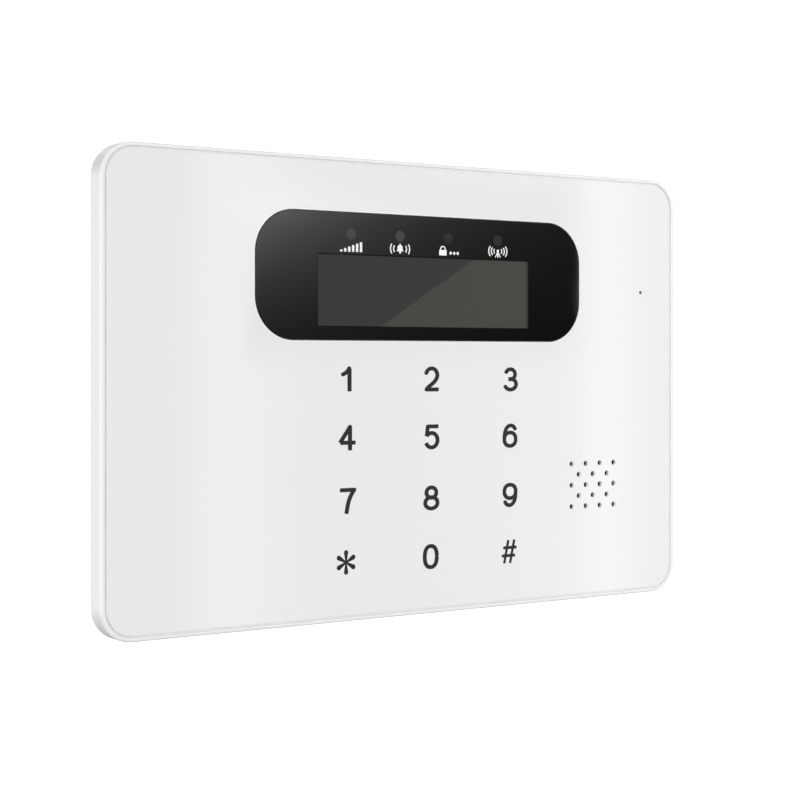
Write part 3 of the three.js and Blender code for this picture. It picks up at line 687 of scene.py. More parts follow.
def combine(base, joins=(), cuts=(), last_joins=()):
    """Joins and cuts solids with exact booleans, and throws the tools away."""
    groups = []
    for operation, tools in (("UNION", joins), ("DIFFERENCE", cuts), ("UNION", last_joins)):
        if not tools:
            continue
        group = bpy.data.collections.new("tools")
        for tool in tools:
            group.objects.link(tool)
        modifier = base.modifiers.new(operation, "BOOLEAN")
        modifier.operation, modifier.solver = operation, "EXACT"
        modifier.operand_type, modifier.collection = "COLLECTION", group
        modifier.use_self = True
        groups.append((group, tools))
    depsgraph = bpy.context.evaluated_depsgraph_get()
    made = bpy.data.meshes.new_from_object(base.evaluated_get(depsgraph))
    base.modifiers.clear()
    base.data = made
    for group, tools in groups:
        for tool in tools:
            bpy.data.objects.remove(tool)
        bpy.data.collections.remove(group)
    return base


def merged(pieces):
    """Several separate solids as one piece."""
    bm = bmesh.new()
    for piece in pieces:
        bm.from_mesh(piece.data)
        bpy.data.objects.remove(piece)
    return new_piece(bm)


def round_edges(piece, edge, segments=2, angle=30):
    bm = bmesh.new()
    bm.from_mesh(piece.data)
    sharp = [e for e in bm.edges if len(e.link_faces) == 2 and e.calc_face_angle(0) > radians(angle)]
    bevel(bm, sharp, edge, segments)
    bm.to_mesh(piece.data)
    bm.free()
    return piece


def shade(piece):
    """Smooth curves, crisp edges, and flat faces that stay flat."""
    bm = bmesh.new()
    bm.from_mesh(piece.data)
    bmesh.ops.remove_doubles(bm, verts=bm.verts, dist=1e-6)
    for face in bm.faces:
        face.smooth = True
    for edge in bm.edges:
        edge.smooth = len(edge.link_faces) == 2 and edge.calc_face_angle(0) < SMOOTH_ANGLE
    bm.to_mesh(piece.data)
    bm.free()
    weights = piece.modifiers.new("normals", "WEIGHTED_NORMAL")
    weights.mode, weights.weight, weights.keep_sharp = "FACE_AREA", 100, True


def finish_piece(name, piece, slot, body="panel", look=None, extra=False):
    """Gives a piece its look, named by slot unless look is given, and its body. It replaces the CAD node of
    this name, unless it is an extra.
    """
    piece.name = name if extra else f"{name}_fine"
    piece.data.materials.clear()
    piece.data.materials.append(LOOKS[look or slot])
    for polygon in piece.data.polygons:
        polygon.material_index = 0
    shade(piece)
    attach(piece, body)
    if not extra:
        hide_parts(name)
    return piece


# ---- The front: shell, touch plate, bezel and LCD ----
SHELL = (187.0, 122.4, 8.7, 0, 0)
SHELL_BACK = -16.3
POCKET = (184.75, 120.8, 7.7, 0, 0)  # the shell's recess for the touch plate
CAVITY = (183.4, 118.8, 6.9, 0, 0)
DECK = (-19.7, -18.1)  # the wall between them
DECK_CUT = (DECK[0] - 1, DECK[1] + 1)
DISPLAY_OPENING = (111.4, 37.8, 8, 2.94, 29.86)
TOUCH_OPENING = (78, 63, 2.5, 4, -22)
PLATE = (184.69, 120.74, 7.67, 0, 0)
PLATE_BACK = -20.0
PLATE_CUT = -19  # cutters of the plate run on to here
GROOVE_WIDE, GROOVE_DEEP = 0.64, 0.5
BEZEL_GAP = 0.15
BEZEL_LEDGE = 1.4
LCD_GAP = 0.15
SPEAKER = (61.6, -28.3)
SOUND_HOLES = (4, 3, 4, 3, 4)  # in each row, from the top
SOUND_HOLE_AT = (53.74, -22.2)
SOUND_HOLE_PITCH = (5.27, 3.07)
SOUND_HOLE_R = 0.75
GRILLE_R = 13.4
GRILLE_BACK = -21.1  # the plate is thinner behind its sound holes
MICROPHONE = (80.1, 27.7)
MICROPHONE_RECESS_R = 1.9
MICROPHONE_SKIN = 0.5  # left of the plate in front of the recess
CASE_SCREWS = ((-77.5, -45.2), (-77.5, 45.2), (77.5, -45.2), (77.5, 45.2))
BOARD_SCREWS = ((-66, 42), (66, 42), (-66, -42), (47.5, -44))


def make_front_shell():
    rim = [(0.12, SHELL_BACK), (0, SHELL_BACK - 0.12), *round_over(0, FACE, 0.6, 1, 7)]
    inner_rim = [(-i, y) for i, y in round_over(-0.2, FACE, 0.2, 1, 6)][::-1]
    cuts = [slab(POCKET, [(-0.8, FACE - 0.5), *inner_rim, (0, DECK[0])], 22),
            slab(CAVITY, [(0, DECK[1]), (0, SHELL_BACK + 1)], 16), through(DISPLAY_OPENING, *DECK_CUT),
            through(TOUCH_OPENING, *DECK_CUT), bored(*SPEAKER, GRILLE_R, *DECK_CUT, 48),
            bored(*MICROPHONE, MICROPHONE_RECESS_R, *DECK_CUT)]
    tubes = []
    for places, outer, inner, top in ((CASE_SCREWS, 3.2, 1.7, -7.5), (BOARD_SCREWS, 2.75, 1.4, -12.3)):
        tube = [(outer + 0.6, DECK[1] - 0.4), (outer + 0.6, DECK[1]), (outer, DECK[1] + 0.6),
                (outer, top - 0.2), (outer - 0.2, top), (inner + 0.2, top), (inner, top - 0.2),
                (inner, DECK[1] + 2)]
        tubes += [turned(tube, x, z, 28) for x, z in places]
    wall = [(14.5, DECK[1] - 0.4), (15.6, DECK[1] - 0.4), (15.6, -14), (15.4, -13.8),
            (14.7, -13.8), (14.5, -14)]
    tubes.append(ring(wall, *SPEAKER, 56))
    shell = combine(slab(SHELL, rim, 22), cuts=cuts, last_joins=tubes)
    finish_piece("front_shell", shell, "shell_plastic")


def make_touch_plate():
    floor = FACE + GROOVE_DEEP
    profile = [(0.05, PLATE_BACK), (0, PLATE_BACK - 0.05), (0, floor + 0.05), (0.06, floor),
               (GROOVE_WIDE - 0.09, floor), (GROOVE_WIDE - 0.01, floor - 0.08)]
    profile += [(i + GROOVE_WIDE, y) for i, y in round_over(0, FACE, 0.13, 1, 5)]
    opening = [(-0.5, FACE - 0.5), (-0.05, FACE), (0, FACE + 0.06), (0, FACE + 1.4)]
    cuts = [slab(grown(BEZEL, BEZEL_GAP), opening, 22),
            through(grown(BEZEL, -BEZEL_LEDGE), FACE, PLATE_CUT, 22)]
    (left, top), (across, down) = SOUND_HOLE_AT, SOUND_HOLE_PITCH
    for row, count in enumerate(SOUND_HOLES):
        shift = across / 2 if count < 4 else 0
        for column in range(count):
            x, z = left + shift + column * across, top - row * down
            cuts.append(countersunk(x, z, SOUND_HOLE_R, FACE, PLATE_CUT))
    cuts += [countersunk(*MICROPHONE, 0.5, FACE, PLATE_CUT, 0.05, 20),
             bored(*SPEAKER, GRILLE_R, GRILLE_BACK, PLATE_CUT, 48),
             bored(*MICROPHONE, MICROPHONE_RECESS_R, FACE + MICROPHONE_SKIN, PLATE_CUT)]
    finish_piece("touch_plate", combine(slab(PLATE, profile, 22), cuts=cuts), "touch_plate_gloss")


def make_bezel():
    base = slab(BEZEL, [(0, FACE + 1.2), *round_over(0, FACE, 0.12, 1, 5)], 22)
    window = [(-0.5, FACE - 0.5), (-0.06, FACE), (0, FACE + 0.06), (0, FACE + 2)]
    finish_piece("display_bezel", combine(base, cuts=[slab(LCD, window, 4)]), "smoked_bezel")


def make_lcd():
    front = slab(grown(LCD, -LCD_GAP), [(0, -18.85), *round_over(0, FACE + 0.15, 0.08, 1, 3)], 4)
    rear = slab(LCD_REAR, [(0.1, -18.9), (0, -18.8), (0, -17.8), (0.1, -17.7)], 4)
    finish_piece("lcd_glass", combine(front, joins=[rear]), "lcd_glass")


# ---- Rear housing and wall bracket ----
BOX = (171, 106.4, 7, 0, 0)
FLANGE = (182.8, 118.2, 6.6, 0, 0)
WALL = 1.8
BACK = -0.8
BOTTOM = -53.2
RIGHT = 85.5
RECESS = (94, 68, 6, 0, -3)
HOOKS = ((-38, 22), (38, 22), (-38, -14), (38, -14))
SOCKET = (63, -6.7)
SWITCH_X = 27
SIM = (-9.2, 8)
TAMPER = (66, 24)
SEAT = -10.1  # seat of the parts behind the main board
VENT = (16, 1.8, 0.88)
VENT_X, VENT_TOP, VENT_PITCH = 67, -24.9, 3.4
BRACKET = (90, 60, 5, 0, 0)
BRACKET_FRONT = -2.4
HOOK_LIP = -5.2
CABLE_HOLE = (30, 12, 3, 0, -19)
BRACKET_HOLES = ((8.4, 8.4, 4.195, 9), (4.4, 11.4, 2.195, 12.5), (10, 4.6, 2.295, -18))  # w, h, r, z


def make_rear_housing():
    base = slab(BOX, [(0, -17.3), *round_over(0, BACK, 0.9, -1, 5)], 16)
    flange = slab(FLANGE, [(0.2, -17.8), (0, -17.6), (0, -16.5), (0.2, SHELL_BACK)], 16)
    inside = slab(grown(BOX, -WALL), [(0, -19), (0, -3.2), (0.6, -2.6)], 14)
    posts = [turned([(3.8, -7.2), (4, -7), (4, -3), (4.4, -2.4)], x, z, 28) for x, z in CASE_SCREWS]
    floor = slab(grown(RECESS, WALL), [(0.4, -4.8), (0, -4.4), (0, -2.4)], 12)
    tray = combine(base, [flange], [inside], [floor, *posts])
    cuts = [cut_edge(RECESS, BACK, 2.2, 0.3, -1, 14)]
    cuts += [cut_edge((9.4, 9.9, 0.8, x, z - 4.65), -3, 3, 0.2, -1, 5) for x, z in HOOKS]
    for x, z in CASE_SCREWS:
        cuts.append(bored(x, z, 1.7, -8, -4, 24))
        cuts.append(turned([(3.1, -4.6), (3.1, BACK - 0.25), (3.35, BACK), (3.85, BACK + 0.5)], x, z, 36))
    for x in (-VENT_X, VENT_X):
        cuts += [cut_edge((*VENT, x, VENT_TOP - row * VENT_PITCH), BACK, 2.6, 0.15, -1, 6)
                 for row in range(5)]
    wall = (BOTTOM - 1, BOTTOM + 2.6)
    mouth = [(4.4, BOTTOM - 0.5), (3.9, BOTTOM), (3.6, BOTTOM + 0.3), (3.6, BOTTOM + 2.6)]
    y, z = SIM
    scoop = [(12.9, y - 3), (13.06, y - 2.7), (13.06, y + 2.7), (12.9, y + 3)]
    cuts += [turned_z(mouth, *SOCKET), block(SWITCH_X - 3.3, SWITCH_X + 3.3, -8.8, -6, *wall, 0.3),
             block(-10.3, 6.3, -10.4, -3.8, *wall, 0.4),
             block(RIGHT - 3, RIGHT + 1, y - 0.8, y + 0.8, z - 7.9, z + 7.9, 0.25),
             turned(scoop, RIGHT + 12.26, z, 120),
             turned([(2.6, -4), (2.6, BACK - 0.2), (2.8, BACK), (3.3, BACK + 0.5)], *TAMPER)]
    finish_piece("rear_housing", combine(tray, cuts=cuts), "housing_plastic")


def make_bracket():
    front, lip = BRACKET_FRONT, HOOK_LIP
    hooks = []
    for x, z in HOOKS:
        corners = [(front + 0.5, z), (lip, z), (lip, z + 5), (lip - 1.7, z + 5), (lip - 1.7, z - 3),
                   (front + 0.5, z - 3)]
        hooks.append(round_edges(loft([[(x + side, y, pz) for y, pz in corners] for side in (-4, 4)]), 0.3))
    cuts = [cut_edge(CABLE_HOLE, front, 4, 0.25, 1)]
    for x in (-24, 24):
        cuts += [cut_edge((w, h, r, x, z), front, 4, 0.25, 1) for w, h, r, z in BRACKET_HOLES]
    profile = round_over(0, 0, 0.3, -1, 4)[::-1] + round_over(0, front, 0.4, 1, 4)
    bracket = combine(slab(BRACKET, profile), cuts=cuts, last_joins=hooks)
    finish_piece("wall_bracket", bracket, "bracket_plastic", "bracket")


# ---- Screws ----
def make_screws(prefix, places, seat, shank, head, height, length, pitch):
    """Pan-head screws along Y, their heads towards the wall, each with a cut thread and a cross recess."""
    sides, tip, top, threaded = 20, seat - length, seat + height, length - 0.8
    rings = []
    rows = round(threaded / pitch * 5)
    for row in range(rows + 1):
        y = tip + threaded * row / rows
        taper = min(1.0, 0.2 + 0.8 * (y - tip) / 1.4)
        points = []
        for n in range(sides):
            phase = ((y - tip) / pitch + n / sides) % 1
            r = (shank - 0.28 * shank * abs(2 * phase - 1)) * taper
            a = 2 * pi * n / sides
            points.append((r * cos(a), y, r * sin(a)))
        rings.append(points)
    profile = [(shank * 0.85, seat - 0.5), (shank, seat), (head - 0.1, seat), (head, seat + 0.1)]
    profile += [(head * (0.55 + 0.45 * cos(a)), seat + height * (0.5 + 0.5 * sin(a)))
                for a in (0, 0.3, 0.6, 0.9, 1.2, 1.57)]
    rings += [[(px, y, pz) for px, pz in disc(0, 0, radius, sides)] for radius, y in profile]
    wide, thin, deep = head * 0.55, 0.3, top - height * 0.55
    blades = [[(-w, -h), (w, -h), (w, h), (-w, h)] for w, h in ((wide, thin), (thin, wide))]
    tools = [loft([[(px * k, y, pz * k) for px, pz in blade] for k, y in ((0.75, deep), (1.1, top + 0.3))])
             for blade in blades]
    model = combine(loft(rings), cuts=tools)
    for number, (x, z) in enumerate(places, 1):
        mesh = model.data.copy()
        mesh.transform(Matrix.Translation((x * MM, 0, z * MM)))
        finish_piece(f"{prefix}_{number}", place("screw", mesh), "screw_steel")
    bpy.data.objects.remove(model)


# ---- Inlet, terminals, switches and SIM card ----
MOUTH = BOTTOM + 2.1  # front of the parts that look out of the bottom wall
TERMINAL_PITCH = 3.75


def make_socket():
    x, y = SOCKET
    body = block(x - 4.5, x + 4.5, SEAT, -3, MOUTH, MOUTH + 12, 0.3)
    hollow = [(3.7, MOUTH - 0.3), (3.35, MOUTH), (3.15, MOUTH + 0.25), (3.15, MOUTH + 9.5)]
    finish_piece("dc_socket", combine(body, cuts=[turned_z(hollow, x, y)]), "black_plastic")
    pin = [(0.5, MOUTH + 1), (0.85, MOUTH + 1.15), (1, MOUTH + 1.5), (1, MOUTH + 10.5)]
    finish_piece("dc_socket_pin", turned_z(pin, x, y, 24), "steel", extra=True)
    sleeve = [(2.95, MOUTH + 1.2), (3.12, MOUTH + 1.2), (3.12, MOUTH + 9.4), (2.95, MOUTH + 9.4)]
    finish_piece("dc_socket_sleeve", turned_z(sleeve, x, y, 36, False), "steel", extra=True)


def make_terminals():
    poles = [-2 + (pole - 1.5) * TERMINAL_PITCH for pole in range(4)]
    screw_z = BOTTOM + 5.6
    body = block(-10, 6, SEAT, -4.1, BOTTOM + 0.2, BOTTOM + 9, 0.25)
    cuts = [block(x - 1.1, x + 1.1, -8.2, -6, BOTTOM - 1, BOTTOM + 5, 0.15) for x in poles]
    cuts += [cut_edge((3, 3, 1.495, x, screw_z), -4.1, 1.5, 0.15, -1, 6) for x in poles]
    finish_piece("terminal_block", combine(body, cuts=cuts), "terminal_plastic")
    heads = []
    for x in poles:
        head = turned([(1.35, -5.7), (1.35, -4.95), (1.2, -4.8)], x, screw_z, 24)
        heads.append(combine(head, cuts=[block(x - 1.5, x + 1.5, -5.2, -4.5, BOTTOM + 5.4, BOTTOM + 5.8)]))
    finish_piece("terminal_screws", merged(heads), "screw_steel", look="steel", extra=True)


def make_power_switch():
    x = SWITCH_X
    body = block(x - 5, x + 5, SEAT, -4.6, MOUTH, MOUTH + 5.2, 0.25)
    opening = block(x - 3.4, x + 3.4, -8.9, -5.9, MOUTH - 1, MOUTH + 2, 0.1)
    finish_piece("power_switch_body", combine(body, cuts=[opening]), "steel")
    knob = block(x - 3, x, -8.5, -6.3, BOTTOM - 0.7, BOTTOM + 3.7, 0.15)
    grips = [block(x - 1.5 + side - 0.17, x - 1.5 + side + 0.17, -8.7, -6.1, BOTTOM - 1, BOTTOM - 0.3)
             for side in (-0.9, 0, 0.9)]
    finish_piece("power_switch_slider", combine(knob, cuts=grips), "black_plastic", "power_switch")


def make_sim():
    (y, z), outer = SIM, RIGHT - 0.5
    body = block(57.4, 79.6, SEAT, -8, z - 9, z + 9, 0.2)
    cuts = [block(58.6, 81, y - 0.7, y + 0.7, z - 7.8, z + 7.8, 0.1), block(63, 74, y, -7.5, z - 4, z + 4)]
    finish_piece("sim_holder", combine(body, cuts=cuts), "shield_can", look="steel")
    low, high, start = z - 7.5, z + 7.5, outer - 25
    corners = [(start, low + 3), (start + 3, low), (outer, low), (outer, high), (start, high)]
    blank = loft([[(px, py, pz) for px, pz in corners] for py in (y - 0.4, y + 0.4)])
    finish_piece("sim_card", round_edges(blank, 0.12), "card_plastic", "sim")
    pads = [block(start + 4 + 4.2 * column, start + 7.9 + 4.2 * column, y + 0.39, y + 0.42,
                  z - 5.2 + 2.7 * row, z - 2.8 + 2.7 * row) for column in range(2) for row in range(4)]
    finish_piece("sim_card_contacts", merged(pads), "card_plastic", "sim", "gold_contacts", extra=True)


def make_tamper_switch():
    x, z = TAMPER
    body = block(x - 4, x + 4, SEAT, -7.4, z - 4, z + 4, 0.25)
    body = combine(body, cuts=[cut_edge((3.4, 3.4, 1.695, x, z), -7.4, 2.5, 0.2, -1, 8)])
    finish_piece("tamper_switch_body", body, "black_plastic")
    profile = [(1.25, -8.2), (1.3, -8.1), (1.3, -3.9), (3.2, -3.9), (3.3, -3.8), (3.3, -3), (3.2, -2.9),
               (2.2, -2.9), (2.2, -0.5), (2.1, -0.25), (1.9, -0.1), (1.65, -0.05)]
    finish_piece("tamper_plunger", turned(profile, x, z), "plunger_plastic", "tamper_button")
    turns, steps, coil = 3.5, 84, []
    for n in range(steps + 1):
        a = turns * 2 * pi * n / steps
        coil.append((x + 2.3 * cos(a), -6.9 + 2.5 * n / steps, z + 2.3 * sin(a)))
    piece = finish_piece("tamper_spring", wire(coil, 0.28), "spring_steel")
    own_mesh(piece)


# ---- Inside: display, boards, battery, speaker and microphone ----
DISPLAY_HOLDER = (110.6, 37, 7.6, 2.94, 29.86)
LED_FLANGE = -15.4
TOUCH_BOARD = (76, 61, 1, 4, -22)
MAIN_BOARD = (160, 94, 1.5, 0, 0)
BOARD_BACK = -10.39  # chips and pins stand on the main board from here
CHIPS = ((8, -12, 10, 10, 1.3), (-14, -14, 7, 5, 1.2), (26, -6, 5, 4, 1.2), (-26, -28, 6, 4.5, 1.2),
         (24, -26, 6.5, 6, 2.2), (40, 2, 5, 4, 1.2))  # x, z, width, height, thickness
PIN_PITCH = 0.8
LEADS = {  # radius, slot, path
    "gsm_antenna_lead": (0.5, "cable_black", [(-30, -8.4, 50), (-30, -7.8, 44), (-25, -7.8, 36),
                                              (-18, -8.4, 30), (-17, -8.8, 26.6)]),
    "battery_lead": (0.6, "cable_red", [(-58, -6.5, 28.6), (-57, -6.4, 33), (-52, -7.4, 37), (-46, -8.8, 38),
                                        (-43, -9.4, 38)]),
    "speaker_lead": (0.45, "cable_red", [(61.6, -13.1, -18.4), (61, -12.9, -14), (58, -12.9, -6),
                                         (52, -12.9, 0), (46, -12.8, 2)]),
}


def make_display_inside():
    front = slab(grown(BEZEL, -1.7), [(0, -18.5), *round_over(0, -20.5, 0.1, 1, 2)])
    body = slab(DISPLAY_HOLDER, [(0, -19.71), (0, -14.8), (0.2, -14.6)])
    cuts = [slab(grown(LCD, 0.3), [(0, -22), (0, -14)], 4),
            slab(grown(LCD_REAR, 0.3), [(0, -19.2), (0, -14)], 4)]
    cuts += [bored(x, LED_Z, 1.7, -22, -14, 28) for x in LED_X]
    finish_piece("display_holder", combine(front, [body], cuts), "black_plastic")
    finish_piece("lcd_backlight", slab(LCD_REAR, pillow(-15, 0.3, -17.4, 0.3, 3), 5), "milky_plastic")
    path = [(-14.1, 22), (-13.9, 12), (-13.2, 8), (-12.6, 4)]
    finish_piece("lcd_ribbon", ribbon(path, -10, 10), "flex_circuit")
    path = [(-18, -42), (-17.4, -37), (-14, -34), (-12.6, -30)]
    finish_piece("touch_ribbon", ribbon(path, -12, 0), "flex_circuit")
    dome = [(1.5 * cos(a), -18.9 - 1.5 * sin(a)) for a in [1.45 - 1.45 * n / 8 for n in range(9)]]
    profile = [*dome, (1.5, LED_FLANGE), (1.65, LED_FLANGE), (1.65, -14.7)]
    for number, x in enumerate(LED_X, 1):
        finish_piece(f"status_led_{number}", turned(profile, x, LED_Z, 28), "led_epoxy")
        legs = [block(x + s - 0.25, x + s + 0.25, -14.7, -12.3, LED_Z - 0.25, LED_Z + 0.25)
                for s in (-0.76, 0.76)]
        finish_piece(f"status_led_{number}_legs", merged(legs), "steel", extra=True)


def make_boards():
    touch = slab(TOUCH_BOARD, [(0.05, -19.7), (0, -19.65), (0, -18.75), (0.05, -18.7)], 6)
    finish_piece("touch_board", touch, "circuit_board")
    socket = block(-14, 2, -18.7, -17.5, -46, -42.5, 0.15)
    finish_piece("touch_board_socket", socket, "black_plastic", extra=True)

    base = slab(MAIN_BOARD, [(0.05, -12), (0, -11.95), (0, -10.45), (0.05, -10.4)], 6)
    cuts = [block(sx * 79.5 - 7, sx * 79.5 + 7, -13, -9, sz * 47 - 7, sz * 47 + 7, 0.8, 3)
            for sx in (-1, 1) for sz in (-1, 1)]
    cuts += [bored(x, z, 1.4, -13, -9, 24) for x, z in BOARD_SCREWS] + [bored(*SPEAKER, 8, -13, -9, 48)]
    finish_piece("main_board", combine(base, cuts=cuts), "circuit_board")
    chips = [block(x - w / 2, x + w / 2, BOARD_BACK, BOARD_BACK + t, z - h / 2, z + h / 2, 0.12)
             for x, z, w, h, t in CHIPS]
    finish_piece("main_board_chips", merged(chips), "black_plastic", extra=True)
    pins, (x, z), height = [], CHIPS[0][:2], (BOARD_BACK, -10.2)
    for n in range(12):
        for side in (-1, 1):
            px, pz = x - 4.4 + PIN_PITCH * n, z + side * 5.4
            pins.append(block(px - 0.15, px + 0.15, *height, pz - 0.5, pz + 0.5))
            px, pz = x + side * 5.4, z - 4.4 + PIN_PITCH * n
            pins.append(block(px - 0.5, px + 0.5, *height, pz - 0.15, pz + 0.15))
    finish_piece("main_board_pins", merged(pins), "steel", extra=True)

    module = slab((24, 24, 1, -18, 14), [(0, SEAT), *round_over(0, -7.3, 0.35, -1, 4)], 6)
    finish_piece("gsm_module", module, "shield_can")
    finish_piece("gsm_antenna", block(-60, 0, -14.5, -6.5, 50.5, 51.1, 0.1), "flex_circuit")
    finish_piece("radio_board", block(4, 42, -9.9, -8.9, 18, 30, 0.05, 1), "circuit_board")
    finish_piece("radio_board_can", block(28, 36, -8.9, -7.7, 20.5, 27.5, 0.2), "shield_can", extra=True)
    turns, steps, coil = 7, 140, []
    for n in range(steps + 1):
        a = turns * 2 * pi * n / steps
        coil.append((12 + 22 * n / steps, -6.8 - 2.3 * cos(a), 38.5 + 2.3 * sin(a)))
    finish_piece("radio_antenna", wire(coil, 0.4), "copper_wire")


def make_sound_and_power():
    battery = slab((30, 58, 2.5, -66, -1), pillow(-3.2, 1.4, -9.9, 1.4, 4), 8)
    finish_piece("battery_pack", battery, "battery_wrap")
    frame_loop = [(11.7, -16.8), (14, -16.8), (14, -16.2), (12.6, -16.2), (9.6, -13.4), (7.3, -13.4),
                  (7.3, -14), (9.2, -14), (11.7, -16.1)]
    finish_piece("speaker_frame", ring(frame_loop, *SPEAKER), "steel")
    magnet = [(6.2, -14), (6.4, -13.98), (7, -13.6), (7, -11.3), (6.9, -11.1), (6.6, -11)]
    finish_piece("speaker_magnet", turned(magnet, *SPEAKER, 48), "steel")
    front = [(0.2, -16.5), (1.4, -16.44), (2.4, -16.3), (3.4, -16.05), (4.2, -15.8), (5, -15.42),
             (5.4, -15.3), (9.8, -16.1), (10.15, -16.42), (10.5, -16.6), (10.9, -16.6), (11.2, -16.5)]
    back = [(11.2, -16.2), (10.6, -16.2), (9.9, -15.7), (5.4, -14.9), (4, -15.4), (2.3, -15.9), (0.2, -16.1)]
    finish_piece("speaker_cone", turned(front + back, *SPEAKER, 48), "cone_paper", "speaker_diaphragm")
    seal = [(12.7, -17.8), (14.1, -17.8), (14.2, -17.7), (14.2, -17.2), (14.1, -17.1), (12.7, -17.1),
            (12.6, -17.2), (12.6, -17.7)]
    finish_piece("speaker_gasket", ring(seal, *SPEAKER), "black_rubber")
    capsule = [(1.8, -17.3), (1.92, -17.27), (2, -17.2), (2, -15.9), (1.9, -15.8)]
    finish_piece("microphone", turned(capsule, *MICROPHONE, 32), "steel")
    boot = [(0.6, -21.1), (0.7, -21.2), (1.5, -21.2), (1.6, -21.1), (1.6, -17.8), (2.8, -17.8), (2.9, -17.7),
            (2.9, -15.4), (2.3, -15.4), (2.3, -17.55), (0.6, -17.55)]
    finish_piece("microphone_boot", ring(boot, *MICROPHONE, 32), "black_rubber")
    for name, (radius, slot, path) in LEADS.items():
        finish_piece(name, wire(smooth_path(path, 8), radius), slot)


# ---- Studio: angles are in degrees, azimuth from -Y towards +X ----
WORLD_SIDE, WORLD_TOP = 1.07, 0.75
LEFT_SIDE = 0.5
RIGHT_SIDE = 0.7
TOP_LEFT = 0.2
STRIP = 2.2
STRIP_WIDE, STRIP_HIGH = (-100, -10), (-10, 9)
# Brightness of the front right side against azimuth: tall soft boxes with dim gaps.
FRONT_BANDS = ((24, 0.9), (27.3, 0.9), (28.1, 2.3), (29.0, 2.0), (30.2, 1.45), (32, 0.85), (39.6, 0.95),
               (40.2, 2.2), (40.9, 2.8), (41.5, 1.7), (42.2, 0.8), (46, 0.7))
BAND_TOP = 3.0  # brightness at the top of the bands' ramp
CARD = {"azimuth": (29.4, 40.0), "height": (0.6, 4.9), "top": (3.15, 0.2), "bottom": (0.295, 0.058)}
FLOOR_GLOW = 0.3
FLOOR_EDGE = (-22, -8)  # the studio darkens to its floor between these heights
BACKDROP = 1.2  # brightness of the pale floor and backdrop to the camera
KEY_POWER = 0.42
KEY_SIZE = (0.25, 0.5)  # metres
KEY_AT, KEY_AIM = (0.34, -0.32, 0.02), (0.07, -0.02, 0)  # metres
FLOOR_RADIUS = 0.7  # metres
FLOOR_DROP = 0.26  # metres from the panel's lower edge to the floor


def window(value, low, high, soft):
    """1 between low and high, and 0 outside, with soft edges."""
    return times(map_range(value, low - soft, low + soft), map_range(value, high - soft, high + soft, 1, 0))


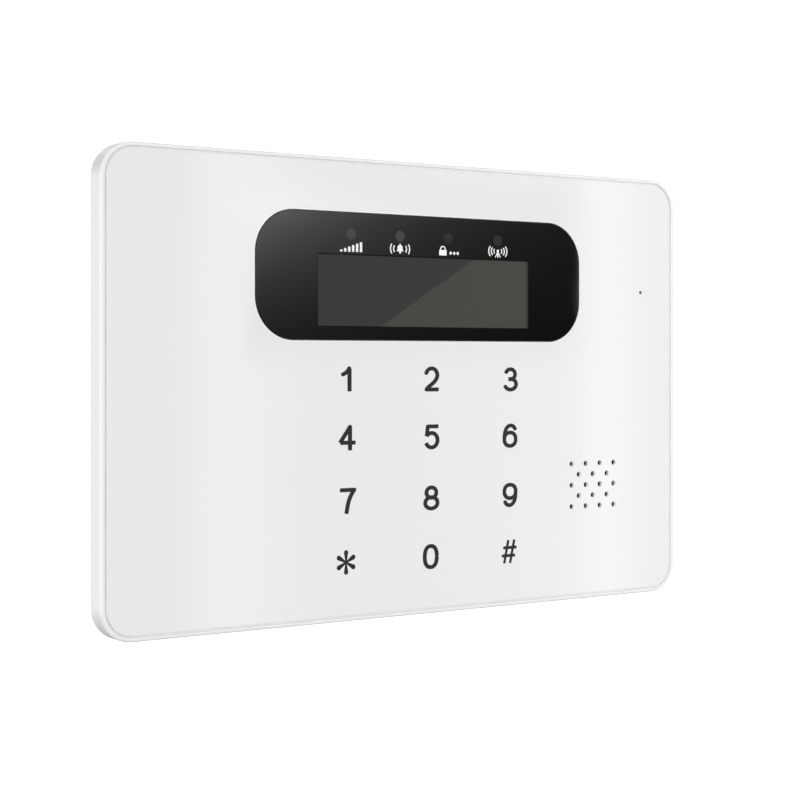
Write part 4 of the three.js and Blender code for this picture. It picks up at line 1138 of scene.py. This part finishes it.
def make_world():
    world = bpy.data.worlds.new("studio")
    bpy.context.scene.world = world
    world.use_nodes = True
    tree = world.node_tree
    background = tree.nodes["Background"]
    coords = tree.nodes.new("ShaderNodeTexCoord")
    split = tree.nodes.new("ShaderNodeSeparateXYZ")
    link(coords.outputs["Generated"], split.inputs[0])
    x, y, z = split.outputs
    azimuth = times(math_node("ARCTAN2", x, times(y, -1.0)), 180 / pi)
    height = times(math_node("ARCSINE", z), 180 / pi)

    def patch(wide, soft_wide, high, soft_high):
        return times(window(azimuth, *wide, soft_wide), window(height, *high, soft_high))

    def dimmed(strength, where, factor):
        return times(strength, map_range(where, 0, 1, 1, factor, smooth=False))

    strength = map_range(z, 0.05, 0.85, WORLD_SIDE, WORLD_TOP)
    strength = plus(strength, times(patch((-160, -60), 15, (-60, 10), 8), LEFT_SIDE))
    strength = dimmed(strength, window(azimuth, 65, 165, 12), RIGHT_SIDE)
    strength = dimmed(strength, patch((-185, -55), 12, (12, 95), 8), TOP_LEFT)
    strength = plus(strength, times(patch(STRIP_WIDE, 6, STRIP_HIGH, 3), STRIP))

    ramp = tree.nodes.new("ShaderNodeValToRGB")
    low, high = FRONT_BANDS[0][0], FRONT_BANDS[-1][0]
    link(map_range(azimuth, low, high, smooth=False), ramp.inputs[0])
    ramp.color_ramp.interpolation = "EASE"
    elements = ramp.color_ramp.elements
    for n, (angle, level) in enumerate(FRONT_BANDS):
        at = (angle - low) / (high - low)
        element = elements[n] if n < 2 else elements.new(at)
        element.position = at
        element.color = (*[level / BAND_TOP] * 3, 1)
    bands = times(ramp.outputs[0], BAND_TOP)
    strength = blend_values(strength, bands, patch((low, high), 1, (-16, 14), 4))

    across = map_range(azimuth, *CARD["azimuth"], smooth=False)
    up = map_range(height, *CARD["height"], smooth=False)
    edges = [map_range(across, 0, 1, math.log(a), math.log(b), False)
             for a, b in (CARD["bottom"], CARD["top"])]
    card = math_node("POWER", math.e, blend_values(*edges, up))
    strength = blend_values(strength, card, patch((29.2, 39.9), 0.15, (0.1, 5.4), 0.4))
    strength = blend_values(strength, FLOOR_GLOW, map_range(height, *FLOOR_EDGE, 1, 0))

    path = tree.nodes.new("ShaderNodeLightPath")
    seen = times(path.outputs["Is Camera Ray"], BACKDROP)
    background.inputs["Color"].default_value = (1, 1, 1, 1)
    link(math_node("MAXIMUM", strength, seen), background.inputs["Strength"])


def make_key_light():
    """A soft box in front and to the right: it lifts the face a little towards its right end."""
    data = bpy.data.lights.new("soft_box", "AREA")
    data.shape, data.energy = "RECTANGLE", KEY_POWER
    data.size, data.size_y = KEY_SIZE
    light = place("soft_box", data)
    light.location = KEY_AT
    light.rotation_euler = (Vector(KEY_AIM) - light.location).to_track_quat("-Z", "Y").to_euler()
    light.visible_glossy = False


def make_floor():
    """A plain pale floor below the panel. The world holds its light, so only the camera sees it."""
    z = SHELL_LOW.z - FLOOR_DROP
    mesh = bpy.data.meshes.new("floor")
    rim = [(FLOOR_RADIUS * px, FLOOR_RADIUS * py, z) for px, py in disc(0, 0, 1, 96)]
    mesh.from_pydata(rim, [], [list(range(len(rim)))])
    floor = place("floor", mesh)
    shader = new_material("pale_floor", (0.9, 0.9, 0.9), 0.9, specular=0)[0]
    shader.inputs["Emission Color"].default_value = (1, 1, 1, 1)
    shader.inputs["Emission Strength"].default_value = BACKDROP
    mesh.materials.append(LOOKS["pale_floor"])
    floor.visible_diffuse = floor.visible_glossy = floor.visible_shadow = False


def set_view():
    settings = bpy.context.scene.view_settings
    settings.view_transform = "Standard"
    settings.look = "None"


make_camera()
make_world()
make_key_light()
make_floor()
set_view()

make_front_shell()
make_touch_plate()
make_bezel()
make_lcd()
make_rear_housing()
make_bracket()
make_screws("case_screw", CASE_SCREWS, -4.3, 1.3, 2.7, 2.0, 9.5, 0.9)
make_screws("board_screw", BOARD_SCREWS, SEAT, 1.0, 2.1, 1.5, 6.0, 0.7)
make_socket()
make_terminals()
make_power_switch()
make_sim()
make_tamper_switch()
make_display_inside()
make_boards()
make_sound_and_power()
print_signs()
